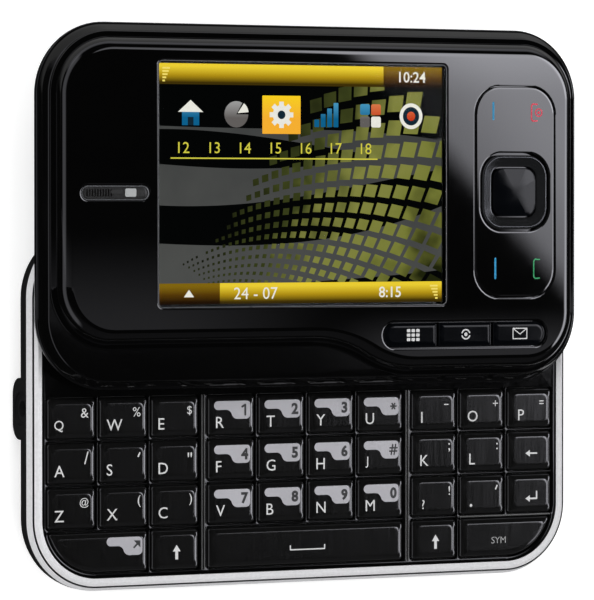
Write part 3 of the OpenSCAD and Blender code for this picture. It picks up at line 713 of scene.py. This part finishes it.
def nav_prints():
    """Soft-key bars and the two call marks."""
    z = heights("nav_plate")[1] - PRINT_SINK
    x, y = NAV
    bm = bmesh.new()
    for dx, low, high in ((-4.05, 11.9, 14.6), (-3.67, -14.1, -10.9)):
        stroke(bm, moved(((dx, low), (dx, high)), x, y), 0.34, z)
    bend = 0.55
    for x0, high, low, index in ((x + 3.1, y + 14.55, y + 11.6, 1), (x + 3.55, y - 10.95, y - 14.25, 2)):
        back = (arc((x0 + bend, high - bend), bend, 120, 180, 5)
                + arc((x0 + bend, low + bend), bend, 180, 240, 5))
        stroke(bm, [(x0 + 1.05, high - 0.12)] + back + [(x0 + 1.05, low + 0.12)], 0.24, z, index)
        if index == 1:
            dial = (x0 + 1.35, (high + low) / 2)
            stroke(bm, arc(dial, 0.62, 0, 360, 14), 0.2, z, index, 0.016)
            slab(bm, arc(dial, 0.24, 0, 345, 12), z, z + 0.015, index)
    print_piece("nav_plate_print", bm, "nav_plate", "black_gloss", MARK_BLUE, MARK_RED, MARK_GREEN)


def earpiece():
    """Slotted grille with sensor windows at its right end and a rim."""
    low, high = heights("earpiece_grille")
    face, soft = high - 0.12, 0.1
    x, y = EAR
    bm = bmesh.new()
    foot, outer = skin(bm, [(0, low)] + quarter(0, face - soft, soft, face), stadium(EAR_L, EAR_W, EAR))
    bm.faces.new(foot[::-1])
    slots = [pocket(bm, rect(0.27, EAR_W - 1.15, 0.1, (x - 4.75 + 0.46 * i, y), 3), high - 0.5, face, 0.03,
                    flat=0.02)[0] for i in range(10)]
    fill(bm, outer, *slots)
    piece("earpiece_slots", bm, "screen", "grille_black", GRILLE, replaces=["earpiece_grille"])
    bm = bmesh.new()
    z = high - 0.13
    for length, width, r, dx, dy, rise, index in (
            (2.0, 0.62, 0.2, 0.35, 0.2, 0.06, 0), (1.9, 1.3, 0.25, 2.7, 0.05, 0.08, 1),
            (1.3, 1.1, 0.25, 4.45, 0, 0.05, 0)):
        slab(bm, round_rect(length, width, r, 0, (x + dx, y + dy), 4), z, z + rise, index)
    print_piece("earpiece_sensor", bm, "screen", "grille_black", GREY_PART, BRIGHT_PART)
    bm = bmesh.new()
    sweep(bm, stadium(EAR_L + 0.02, EAR_W + 0.02, EAR),
          moved(((0, -0.3), (0, -0.03), (0.05, 0), (0.14, 0), (0.19, -0.06), (0.19, -0.3)), 0, FACE_Z))
    piece("earpiece_rim", bm, "screen", "grille_black", RIM)


def window():
    """Clear window with soft edges, and the line round it."""
    top = moved(((0, -0.06), (0.02, -0.02), (0.06, 0), (0.3, 0)), 0, glass_high.z)
    bm = bmesh.new()
    stack(bm, [(0, glass_low.z)] + top, rect(GLASS_L, GLASS_W, 0.8, GLASS_C))
    piece("window_glass", bm, "screen", "clear_window", GLASS, replaces=["display_window"])
    bm = bmesh.new()
    sweep(bm, rect(GLASS_L + 0.09, GLASS_W + 0.09, 0.85, GLASS_C),
          moved(((0, -0.3), (0, -0.05), (0.04, -0.003), (0.12, -0.003), (0.17, -0.048), (0.045, -0.048),
                 (0.045, -0.3)), 0, FACE_Z))
    piece("window_rim", bm, "screen", "black_gloss", RIM)


# Display: its picture lies in thin layers, one on the other

X0, Y0, X1, Y1 = LCD
WIDE, TALL = X1 - X0, Y1 - Y0
ZONE = (X0, Y0 + BAR_H, X1, Y1 - BAR_H)
LAYERS = [LCD_Z + LAYER * i for i in range(6)]
BROWN_L = 10.7


def clip(points, x0, y0, x1, y1):
    """Part of a polygon that lies inside a rectangle."""
    for axis, limit, sign in ((0, x0, 1), (0, x1, -1), (1, y0, 1), (1, y1, -1)):
        kept = []
        for a, b in zip(points, points[1:] + points[:1]):
            da, db = sign * (a[axis] - limit), sign * (b[axis] - limit)
            if da >= 0:
                kept.append(a)
            if (da > 0 > db) or (da < 0 < db):
                t = da / (da - db)
                kept.append((a[0] + t * (b[0] - a[0]), a[1] + t * (b[1] - a[1])))
        points = kept
        if len(points) < 3:
            return []
    return points


def lcd_box(x, y, length, width, r):
    """Rounded rectangle from its lower left corner, measured from the picture's lower left corner."""
    return round_rect(length, width, r, 0, (X0 + x + length / 2, Y0 + y + width / 2), 4)


def lcd_piece(name, bm, *materials):
    """A layer of the picture."""
    print_piece("lcd_" + name, bm, "screen", "display_panel", *materials)


def lcd_ground():
    """Dark ground of the picture."""
    bm = bmesh.new()
    slab(bm, round_rect(WIDE, TALL, 0.3, 0, ((X0 + X1) / 2, (Y0 + Y1) / 2), 4), LAYERS[0] - 0.002, LAYERS[1])
    lcd_piece("ground", bm, LCD_GROUND)


def lcd_bands():
    """Three grey bands that wave across the picture."""
    bm = bmesh.new()
    n = 30

    def wave(y, rise, bend, swing, turns):
        return [(X0 + WIDE * i / n, Y0 + y + rise * (i / n) ** bend + swing * sin(turns * i / n + y))
                for i in range(n + 1)]

    for low, high, rise in ((0.5, 8.5, 5.5), (16.5, 21.5, 4.0), (26.5, 29.5, -3.0)):
        lower, upper = wave(low, rise, 1.6, 1.2, 3.4), wave(high, 1.5 * rise, 2, 1.4, 3.0)
        for i in range(n):
            part = clip([lower[i], lower[i + 1], upper[i + 1], upper[i]], *ZONE)
            if part and upper[i][1] - lower[i][1] > 0.1:
                slab(bm, part, LAYERS[1], LAYERS[2])
    lcd_piece("bands", bm, LCD_BAND)


def lcd_diamonds():
    """Fan of diamonds in rows round a point below the picture's left corner."""
    bm = bmesh.new()
    hub = (X0 - 3.0, Y0 - 9.0)
    first_r, last_r, smallest = 17.0, 66, 0.02
    r, row = first_r, 0
    while r < last_r:
        step = 0.058 + 0.0003 * r
        grow = min(1.0, 0.5 + (r - first_r) / 60)
        half, depth = 0.36 * step * grow, r * step * 0.44 * grow
        for i in range(int(radians(112) / step)):
            t = radians(-8) + (i + (row % 2) / 2) * step
            x, y = hub[0] + r * cos(t), hub[1] + r * sin(t)
            if (x - X0) / WIDE - 0.55 * (y - Y0) / TALL < 0.02 + 0.05 * sin(9 * t):
                continue
            shape = [(r, t - half), (r + depth, t), (r, t + half), (r - depth, t)]
            points = clip(moved([(q * cos(a), q * sin(a)) for q, a in shape], *hub), *ZONE)
            area = sum(a[0] * b[1] - b[0] * a[1] for a, b in zip(points, points[1:] + points[:1])) / 2
            if area > smallest:
                slab(bm, points, LAYERS[2], LAYERS[3])
        r += r * step * 0.62
        row += 1
    lcd_piece("diamonds", bm, LCD_MOTIF)


def lcd_bars():
    """Gold bars with a brown end, at the top and at the foot."""
    bm = bmesh.new()
    gold_l, top = WIDE - BROWN_L, TALL - BAR_H
    for x, y, length, index in ((0, top, gold_l, 0), (gold_l, top, BROWN_L, 1), (BROWN_L, 0, gold_l, 0),
                                (0, 0, BROWN_L, 1)):
        slab(bm, lcd_box(x, y, length, BAR_H, 0.05), LAYERS[3], LAYERS[4], index)
    lcd_piece("bars", bm, LCD_GOLD, LCD_BROWN)


def lcd_digits():
    """Numbers and small signs in the bars, and a row of days under the tiles."""
    bm = bmesh.new()
    z = LAYERS[4]
    for i in range(5):
        slab(bm, lcd_box(0.7, TALL - 2.9 + 0.5 * i, 0.45 + 0.22 * i, 0.28, 0.04), z, z + LAYER, 1)
        slab(bm, lcd_box(WIDE - 1.2 - 0.24 * i, 0.45 + 0.5 * i, 0.45 + 0.24 * i, 0.28, 0.04), z, z + LAYER, 1)
    letters(bm, "10:24", 1.75, (X1 - 5.4, Y1 - BAR_H / 2), z, (0.5, 0.5), 0, LAYER, weight=0.01)
    letters(bm, "24 - 07", 1.9, (X0 + 13.2, Y0 + BAR_H / 2), z, (0, 0.5), 0, LAYER)
    letters(bm, "8:15", 1.75, (X1 - 9.5, Y0 + BAR_H / 2), z, (0.5, 0.5), 0, LAYER, weight=0.01)
    slab(bm, moved(((4.4, 1.1), (6.2, 1.1), (5.3, 2.3)), X0, Y0), z, z + LAYER, 0)
    for i in range(7):
        letters(bm, str(12 + i), 1.75, (X0 + 4.4 + 5.4 * i, Y0 + 23.9), z, (0.5, 0), 2, LAYER)
    stroke(bm, moved(((2.2, 23.1), (38.8, 23.1)), X0, Y0), 0.2, z, 2, LAYER)
    lcd_piece("digits", bm, LCD_WHITE, LCD_PALE, LCD_YELLOW)


def lcd_tiles():
    """Row of plain pictograms; the third one is picked."""
    bm = bmesh.new()
    z, top, upper, upmost = LAYERS[4], LAYERS[5], LAYERS[5] + LAYER, LAYERS[5] + 1.5 * LAYER
    pitch, y = 8.0, Y0 + 30.1
    house, pie, picked, bars, squares, target = (X0 + 5.6 + pitch * i for i in range(6))
    # A house
    slab(bm, moved(((-1.5, -1.8), (1.5, -1.8), (1.5, 0.3), (-1.5, 0.3)), house, y), z, top, 1)
    slab(bm, moved(((-2.2, 0.3), (2.2, 0.3), (0, 2.2)), house, y), z, top, 0)
    slab(bm, moved(((-0.5, -1.8), (0.5, -1.8), (0.5, -0.5), (-0.5, -0.5)), house, y), top, upper, 3)
    # A pie with one piece out
    slab(bm, arc((pie, y), 2.1, 60, 360, 20) + [(pie, y)], z, top, 2)
    corner = (pie + 0.25, y + 0.2)
    slab(bm, [corner] + arc(corner, 1.9, 5, 55, 8), z, top, 0)
    # The picked tile, with a gear
    slab(bm, round_rect(6.8, 6.1, 0.1, 0, (picked, y), 2), LAYERS[3], z, 4)
    for i in range(4):
        turn = Matrix.Rotation(radians(45 * i), 2)
        tooth = [turn @ Vector(p) for p in ((2.1, 0.4), (-2.1, 0.4), (-2.1, -0.4), (2.1, -0.4))]
        slab(bm, moved(tooth, picked, y), z, top + 0.0005 * i, 0)
    slab(bm, arc((picked, y), 1.55, 0, 345, 22), top, upper, 0)
    slab(bm, arc((picked, y), 0.7, 0, 345, 14), upper, upmost, 3)
    # Four bars
    for i in range(4):
        tall = 1.2 + 0.9 * i
        slab(bm, round_rect(0.85, tall, 0.1, 0, (bars - 1.7 + 1.15 * i, y - 1.9 + tall / 2), 2), z, top, 1)
    # Four squares
    for dx, dy, index in ((-1, -1, 2), (1, -1, 0), (1, 1, 5), (-1, 1, 1)):
        slab(bm, round_rect(1.75, 1.75, 0.3, 0, (squares + dx, y + dy), 3), z, top, index)
    # A ring round a dot
    centre = (target - 0.6, y)
    slab(bm, arc(centre, 2.1, 0, 350, 26), z, top, 0)
    slab(bm, arc(centre, 1.5, 0, 350, 22), top, upper, 3)
    slab(bm, arc(centre, 0.75, 0, 345, 16), upper, upmost, 5)
    lcd_piece("tiles", bm, LCD_WHITE, LCD_BLUE, LCD_GREY, LCD_DARK, LCD_PICKED, LCD_RED)


front_cover()
casing()
nav_plate()
nav_ring()
centre_key()
nav_prints()
for side in ("left", "middle", "right"):
    shortcut(side)
earpiece()
window()
lcd_ground()
lcd_bands()
lcd_diamonds()
lcd_bars()
lcd_digits()
lcd_tiles()


# Keyboard half

def base_frame():
    """Silver frame with two facets and the groove between them; the groove and the inner wall carry painted
    shade.
    """
    low, width, bottom, wall, dip, groove = rim_low.z, 2.05, 6.7, 0.4, 0.22, (0.65, BASE_TOP - 0.5)
    profile = (moved(((0, 0), (0, 0.1), (0.04, 0.2)), 0, bottom)
               + moved(((-0.19, -0.1), (-0.14, -0.06), (-0.12, -0.5), (0.12, -0.5), (0.14, 0.06), (0.19, 0.12)),
                       *groove)
               + moved(((1.0, -0.26), (1.15, -0.1), (1.32, 0)), 0, BASE_TOP)
               + moved(((-0.12, 0), (-0.04, -0.02), (0, -0.08)), width, BASE_TOP - dip)
               + [(width, low), (width - wall, low), (width - wall, bottom)])
    # Faces of the groove and of the inner wall get the dark plastic: painted shade
    dark = (4, 5, 6, 14)
    bm = bmesh.new()
    sweep(bm, half_outline, profile)
    round_size = len(bm.faces) // len(profile)
    for i, face in enumerate(bm.faces):
        if i // round_size in dark:
            face.material_index = 1
    piece("silver_frame_paint", bm, "base", "silver_trim", SILVER, GROOVE_SHADE, replaces=["silver_frame"])


def lens():
    """Ring and glass of the camera on the back, in the bezel's hollow."""
    deep = heights("camera_module")[0]
    seat, top, turns = deep + 0.3, deep + 0.02, 8
    circle = lambda d: arc(mid("camera_module"), 2.6 - d, 0, 352.5, 47)
    bm = bmesh.new()
    sweep(bm, circle, [(0, seat)] + moved(((0.12, 0.04), (0.2, 0), (0.32, 0.02)), 0, top) + [(0.5, seat)])
    piece("camera_ring", bm, "base", "camera_black", CHROME)
    bm = bmesh.new()
    dome = [(1.65 * i / turns, -0.2 * sin(pi / 2 * i / turns)) for i in range(turns + 1)]
    stack(bm, [(0.85, seat + 0.05)] + moved(dome, 0.85, seat), circle)
    piece("camera_lens", bm, "base", "camera_black", LENS)


base_frame()
for node, material in dict(
        rear_shell=SHELL, battery_cover=COVER, battery=WRAP, key_mat=RUBBER, main_board=BOARD, audio_jack=JACK,
        data_socket=SOCKET, camera_module=GLOSS, slide_rails=STEEL, slide_carriage=STEEL, assist_spring=SPRING,
        display_module=GRILLE).items():
    dress(node, material)
dress("volume_rocker", CASING, bevel=0.12)
lens()


# Keyboard

KEYS = sorted(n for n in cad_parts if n.startswith("key_") and n != "key_mat")
KEY_LOW, KEY_TOP = heights("key_q")
DECK_LOW, DECK_TOP = heights("key_mat")[1] + 0.05, heights("keypad_frame")[1]
# A key's profile from its foot to its plateau: inset and depth below the top
KEY_PROFILE = [(0.0, KEY_TOP - KEY_LOW), (0.0, 0.78), (0.03, 0.66), (0.1, 0.52), (0.2, 0.39), (0.32, 0.285),
               (0.46, 0.205), (0.62, 0.135), (0.78, 0.07), (0.86, 0.037), (0.92, 0.014), (1.0, 0.0)]
PLATEAU = KEY_PROFILE[-1][0]
PRINT_Z = KEY_TOP - 0.008
INK_Z = PRINT_Z + 0.02


def corner_key(d, mirrored):
    """Outline of a wide corner key, drawn in by d: its outer lower corner follows the frame's."""
    low, high = box("key_symbol" if mirrored else "key_fn")
    inner, top = (-low.x if mirrored else high.x) - d, high.y - d
    r, soft = CORNER_R - KEYS_IN - KEY_GAP - d, 0.5
    centre = (-HALF_L + CORNER_R, -HALF_W + CORNER_R)
    start = 180 + degrees(asin((centre[1] - top) / r))
    near = centre[0] + r * cos(radians(start))
    points = (arc(centre, r, start + 5, 270, 22)
              + arc((inner - soft, centre[1] - r + soft), soft, 270, 360, 6)
              + arc((inner - soft, top - soft), soft, 0, 90, 6)
              + [(near + 0.9, top), (near + 0.35, top - 0.06), (near + 0.1, top - 0.26)])
    return [(-x, y) for x, y in points][::-1] if mirrored else points


def key_outline(node):
    """Outline function of a key's skirt, drawn in by d."""
    if node in ("key_fn", "key_symbol"):
        return lambda d: corner_key(d, node == "key_symbol")
    length, width = span(node)
    return lambda d: round_rect(length - 2 * d, width - 2 * d, 0.6 + 0.2 * d, 0, mid(node), 6)


def keypad():
    """Deck with soft webs, the slide's seat, a pair of ribs at each divider and one above the symbol key; the
    ribs' light grey is a painted highlight.
    """
    bm = bmesh.new()
    soft = 0.1
    inset = rim_high.x - box("keypad_frame")[1].x
    edge = [(0, DECK_LOW), (0, DECK_TOP - soft), (soft * 0.3, DECK_TOP - soft * 0.3), (soft, DECK_TOP)]
    walls = [skin(bm, [(inset + d, z) for d, z in edge], half_outline)]
    walls += [skin(bm, [(-KEY_GAP - d, z) for d, z in edge], key_outline(node)) for node in KEYS]
    length, width = span("slide_rails")
    seat = rect(length + SEAT, width + SEAT, 1.5, mid("slide_rails"), 6)
    seat_top, _ = pocket(bm, seat, heights("slide_rails")[0] - 0.01, DECK_TOP, soft, flat=0.1)
    fill(bm, *[top for _, top in walls], seat_top)
    fill(bm, *[low for low, _ in walls], up=-1)

    deck_faces = len(bm.faces)
    foot, top = DECK_TOP - 0.02, DECK_TOP + 0.25
    left, right = box("key_r")[0].x, box("key_u")[1].x
    gap = (left - box("key_e")[1].x) / 2
    low, high = box("key_space")[0].y - KEY_GAP, box("key_q")[1].y + KEY_GAP
    for x in (left - gap - 0.22, left - gap + 0.22, right + gap - 0.22, right + gap + 0.22):
        stack(bm, [(0, foot), (0, top - 0.08), (0.01, top - 0.04), (0.04, top)],
              rect(0.13, high - low, 0.06, (x, (high + low) / 2), 4))
    row = (box("key_v")[0].y + box("key_space")[1].y) / 2
    length, x = span("key_symbol")[0], mid("key_symbol")[0]
    stack(bm, [(0, foot), (0, top - 0.08), (0.03, top - 0.03), (0.08, top)],
          lambda d: round_rect(length - 2 * d, 0.26 - 2 * d, 0.1 - d / 2, 0, (x, row), 4))
    # The ribs get the light grey: painted highlight
    paint(bm, deck_faces, 1)
    piece("keypad_deck", bm, "base", "keypad_black", DECK, RIB_HIGHLIGHT, replaces=["keypad_frame"])


def key_cap(node):
    """Key with a rounded skirt and a flat plateau."""
    bm = bmesh.new()
    profile = [(d, KEY_TOP - depth) for d, depth in KEY_PROFILE + [(PLATEAU + 0.2, 0.0)]]
    stack(bm, profile, key_outline(node))
    piece(node + "_cap", bm, node, "key_black", KEY, replaces=[node], sharp=60)


def patch_outline(x, y, length):
    """The light patch behind a digit: a tail along the top that widens in an S to a block."""
    tail, drop, s_r, corner, block = 1.4, 2.9, 1.05, 0.75, 2.25
    turn = degrees(acos(1 - (drop - tail) / (2 * s_r)))
    right = x + length
    s_end = right - block
    s_x = s_end - 2 * s_r * sin(radians(turn))
    return (arc((x + tail / 2, y - tail / 2), tail / 2, 90, 270, 10)
            + arc((s_x, y - tail - s_r), s_r, 90, 90 - turn, 8)[:-1]
            + arc((s_end, y - drop + s_r), s_r, 270 - turn, 270, 8)
            + arc((right - corner, y - drop + corner), corner, 270, 360, 6)
            + arc((right - corner, y - corner), corner, 0, 90, 6))


SYMBOLS = dict(q="&", w="%", e="$", a="/", s="'", d='"', z="@", x="(", c=")", i="-", o="+", p="=", k=";", l=":",
               question="!", stop="'")
DIGITS = dict(zip("rtyufghjvbnm", "123*456#7890"))
TALL_SYMBOLS = {"/": 2.0, "'": 0.75, '"': 0.75, "+": 0.95, ";": 1.45, ":": 1.1, "(": 1.9, ")": 1.9, "@": 1.55}
SHIFTED = {"?": 0.8, "P": 0.85, "L": 0.6, "I": 0.6, "K": 0.45}
STROKED = {"*": [[(-0.5, 0), (0.5, 0)], [(-0.25, -0.43), (0.25, 0.43)], [(-0.25, 0.43), (0.25, -0.43)]],
           "#": [[(-0.41, -0.8), (-0.13, 0.8)], [(0.13, -0.8), (0.41, 0.8)],
                 [(-0.68, -0.27), (0.62, -0.27)], [(-0.62, 0.27), (0.68, 0.27)]],
           "1": [[(-0.45, 0.5), (0.1, 0.8), (0.1, -0.8)]]}


def digit(bm, mark, x, y):
    """Dark digit, star or hash on a patch."""
    if mark not in STROKED:
        letters(bm, mark, 1.85, (x, y), INK_Z, (0.5, 0.5), 2, 0.01, weight=0.045)
    for i, line in enumerate(STROKED.get(mark, ())):
        stroke(bm, moved(line, x, y), 0.34 if mark == "1" else 0.26, INK_Z, 2, 0.008 + 0.002 * i)


def key_print(node):
    """Letter, symbol, digit patch or arrow on a key's plateau."""
    name = node[4:]
    low, high = box(node)
    x0, x1, y0, y1 = low.x + PLATEAU, high.x - PLATEAU, low.y + PLATEAU, high.y - PLATEAU
    x, y = (x0 + x1) / 2, (y0 + y1) / 2
    bm = bmesh.new()
    main = dict(question="?", stop=".").get(name, name.upper() if len(name) == 1 else "")
    symbol = SYMBOLS.get(name)
    if name in DIGITS:
        slab(bm, patch_outline(x0 - 0.05, y1 + 0.02, x1 - x0 + 0.02), PRINT_Z, INK_Z, 1)
        digit(bm, DIGITS[name], x1 - 1.0, y1 - 1.42)
    if main == ".":
        slab(bm, arc((x0 + 0.95, y0 + 0.55), 0.24, 0, 345, 12), PRINT_Z, INK_Z)
    elif main:
        left = x0 + (0.12 if x < -20 else SHIFTED.get(main, 0.3))
        letters(bm, main, 1.5 if main == "?" else 1.8, (left, y0 + 0.22), PRINT_Z)
    if symbol == "'":
        stroke(bm, moved(((-0.8, -1.35), (-0.55, -0.8)), x1, y1), 0.25, PRINT_Z)
    elif symbol in ("-", "="):
        for dy in ((0,) if symbol == "-" else (-0.22, 0.22)):
            stroke(bm, moved(((-1.45, -1.35), (-0.75, -1.35)), x1, y1 + dy), 0.17, PRINT_Z)
    elif symbol:
        letters(bm, symbol, TALL_SYMBOLS.get(symbol, 1.5), (x1 - 0.4, y1 - 1.35), PRINT_Z, (1, 0.5))
    if name.startswith("shift"):
        arrow = ((-0.25, -1.17), (0.25, -1.17), (0.25, 0.1), (0.68, 0.1), (0, 1.17), (-0.68, 0.1), (-0.25, 0.1))
        slab(bm, moved(arrow, x + 0.1, y - 0.38), PRINT_Z, INK_Z)
    elif name == "space":
        stroke(bm, moved(((-3.1, -0.1), (-3.1, -0.75), (3.1, -0.75), (3.1, -0.1)), x, y), 0.2, PRINT_Z)
    elif name in ("backspace", "enter"):
        x, y = x + 0.2, y - (0.9 if name == "enter" else 0.46)
        slab(bm, moved(((-1.15, 0), (-0.3, -0.55), (-0.3, 0.55)), x, y), PRINT_Z, INK_Z)
        stem = [(-0.35, 0), (1.0, 0), (1.0, 1.15)][:3 if name == "enter" else 2]
        stroke(bm, moved(stem, x, y), 0.26, PRINT_Z - 0.002)
    elif name == "symbol":
        letters(bm, "SYM", 1.1, (x - 1.4, y - 0.5), PRINT_Z, (0.5, 0.5), 3)
    elif name == "fn":
        slab(bm, patch_outline(x1 - 6.3, y1 + 0.1, 6.2), PRINT_Z, INK_Z, 1)
        x, y = x1 - 0.45, y1 - 0.5
        slab(bm, moved(((0, 0), (-1.15, 0), (0, -1.15)), x, y), INK_Z, INK_Z + 0.01, 2)
        stroke(bm, moved(((-0.5, -0.5), (-1.1, -1.1)), x, y), 0.3, INK_Z, 2, 0.008)
    print_piece(node + "_print", bm, node, "key_black", LEGEND, PATCH, PATCH_INK, LEGEND_DIM)


keypad()
for node in KEYS:
    key_cap(node)
    key_print(node)


# Camera, lights and floor, in metres

ROOM_LIGHT = 0.6
BOX_LIGHT = 5.9
FLOOR_LIFT = 0.5
FLOOR_CARD = 0.6
FLOOR_HALF = 6.0
FLOOR_Z = -0.05 * MM
CONTACT = 0.5 * MM
LENS_MM, SENSOR_MM = 250, 36
CAMERA_PLACE = Vector((-0.30122, 0.03155, 0.61196))
CAMERA_AIM = Vector((-0.004017, 0.016924, 0.0127))
LIGHT_AIM = Vector((0, 0.016, 0.01))
WHITE = (1, 1, 1, 1)


def make_camera():
    """Camera with a long lens; +Y is up in its picture."""
    data = bpy.data.cameras.new("camera")
    data.lens, data.sensor_width = LENS_MM, SENSOR_MM
    data.clip_start, data.clip_end = 0.01, 50
    camera = new_object("camera", data)
    back = (CAMERA_PLACE - CAMERA_AIM).normalized()
    right = Vector((0, 1, 0)).cross(back).normalized()
    turn = Matrix((right, back.cross(right), back)).transposed()
    camera.matrix_world = Matrix.Translation(CAMERA_PLACE) @ turn.to_4x4()
    bpy.context.scene.camera = camera


def make_floor():
    """White floor. Shiny surfaces see black card on it, except behind the phone. It is clear from below."""
    mesh = bpy.data.meshes.new("floor")
    corners = [(FLOOR_HALF * i, FLOOR_HALF * j, 0) for i, j in ((-1, -1), (1, -1), (1, 1), (-1, 1))]
    mesh.from_pydata(corners, [], [(0, 1, 2, 3)])
    floor = new_object("floor", mesh)
    floor.location.z = FLOOR_Z
    s = Surface("floor_white")
    path = s.add("LightPath").outputs
    y = s.fed("SeparateXYZ", {0: s.place}, "Y")
    card = s.maths("MULTIPLY", path["Is Glossy Ray"], s.ranged(y, 0.06, 0.085, 0.0, FLOOR_CARD))
    lift = s.maths("MULTIPLY", path["Is Camera Ray"], FLOOR_LIFT)
    s.set(Base_Color=s.mixed(path["Is Glossy Ray"], (0.8, 0.8, 0.8, 1), (0.015, 0.015, 0.015, 1)),
          Emission_Strength=s.maths("ADD", card, lift), Emission_Color=WHITE, Roughness=0.9,
          Specular_IOR_Level=0.0)
    # Rays that start close to the floor, on what rests on it, pass it too
    near = s.maths("LESS_THAN", path["Ray Length"], CONTACT)
    clear = s.maths("MAXIMUM", s.add("NewGeometry").outputs["Backfacing"], near)
    through = s.add("BsdfTransparent").outputs[0]
    surface = s.fed("MixShader", {0: clear, 1: s.shader.outputs[0], 2: through})
    s.wire(surface, s.tree.nodes["Material Output"].inputs["Surface"])
    mesh.materials.append(s.material)


def area_light(name, place, length, width, power):
    """Rectangular lamp that looks at the phone and isn't seen itself."""
    data = bpy.data.lights.new(name, "AREA")
    data.shape = "RECTANGLE"
    data.size, data.size_y = length, width
    data.energy = power
    light = new_object(name, data)
    light.location = place
    light.rotation_euler = (Vector(place) - LIGHT_AIM).to_track_quat("Z", "Y").to_euler()
    light.visible_camera = False
    light.visible_glossy = False


def make_world():
    """Plain white room. Shiny surfaces see a large softbox on its right, a few cards and strips, and black."""
    world = bpy.data.worlds.new("studio")
    bpy.context.scene.world = world
    world.use_nodes = True
    nodes = Nodes(world.node_tree)

    def patch(strength, *edges):
        """A strength, times a soft step for each edge: source, start, end and, unless 0 and 1, low and high."""
        for edge in edges:
            strength = nodes.maths("MULTIPLY", strength, nodes.ranged(*edge, kind="SMOOTHSTEP"))
        return strength

    place = nodes.add("TexCoord").outputs["Generated"]
    split = nodes.add("SeparateXYZ")
    nodes.wire(place, split.inputs[0])
    x, y, z = split.outputs
    height = nodes.maths("MAXIMUM", z, 0.03)
    u, v = nodes.maths("DIVIDE", x, height), nodes.maths("DIVIDE", y, height)
    # Softbox on the right, with a slanted edge that the glossy face mirrors
    slant = nodes.maths("ADD", nodes.maths("MULTIPLY", u, 0.70), nodes.maths("MULTIPLY", v, 0.714))
    upper_box = patch(1.0, (z, 0.7, 0.78), (v, 0.35, 0.2))
    lower_box = patch(0.95, (z, 0.48, 0.4), (z, 0.28, 0.34))
    softbox = patch(nodes.maths("ADD", upper_box, lower_box), (slant, 0.386, 0.395), (v, 0.9, 0.6),
                    (v, -1.6, -0.9), (z, 0.1, 0.3), (slant, 0.39, 0.42, 0.62 * BOX_LIGHT, BOX_LIGHT),
                    (u, 0.485, 0.515, 0.28, 1.0), (u, 0.6, 0.66, 1.0, 1.5), (v, 0.029, 0.046, 0.87, 1.25))
    # Two weak cards in front, on the left
    front = patch(0.37, (v, -0.004, -0.034), (v, -0.039, -0.034), (u, 0.515, 0.45))
    edge = patch(0.5, (v, -0.026, -0.04), (v, -0.05, -0.043), (u, 0.5, 0.53))
    # Low strips in front, behind and on the left
    low_front = patch(0.08, (y, -0.3, -0.7), (z, -0.05, 0.2), (z, 0.85, 0.6))
    low_back = patch(1.05, (y, 0.5, 0.8), (z, 0.0, 0.03), (z, 0.35, 0.2))
    low_left = patch(1.1, (x, -0.3, -0.5), (z, 0.15, 0.25), (z, 0.6, 0.45))
    mirrored = 0.01
    for part in (softbox, front, edge, low_front, low_back, low_left):
        mirrored = nodes.maths("ADD", mirrored, part)
    path = nodes.add("LightPath").outputs
    glossy, camera = path["Is Glossy Ray"], path["Is Camera Ray"]
    strength = nodes.fed("Mix", {0: glossy, 2: ROOM_LIGHT, 3: mirrored})
    background = nodes.tree.nodes["Background"].inputs
    nodes.wire(nodes.fed("Mix", {0: camera, 2: strength, 3: 1.0}), background["Strength"])
    nodes.wire(nodes.mixed(glossy, WHITE, (0.98, 0.98, 1.06, 1)), background["Color"])


make_camera()
make_floor()
make_world()
area_light("back_box", (-0.5, 1.3, 1.2), 1.2, 0.8, 8)
area_light("left_box", (-1.4, 0.2, 1.1), 1.1, 0.9, 9)
area_light("front_box", (0.4, -1.3, 1.0), 1.1, 0.8, 6.2)
area_light("right_box", (1.4, 0.0, 1.0), 1.0, 0.8, 7)

scene = bpy.context.scene
scene.view_settings.view_transform = "Standard"
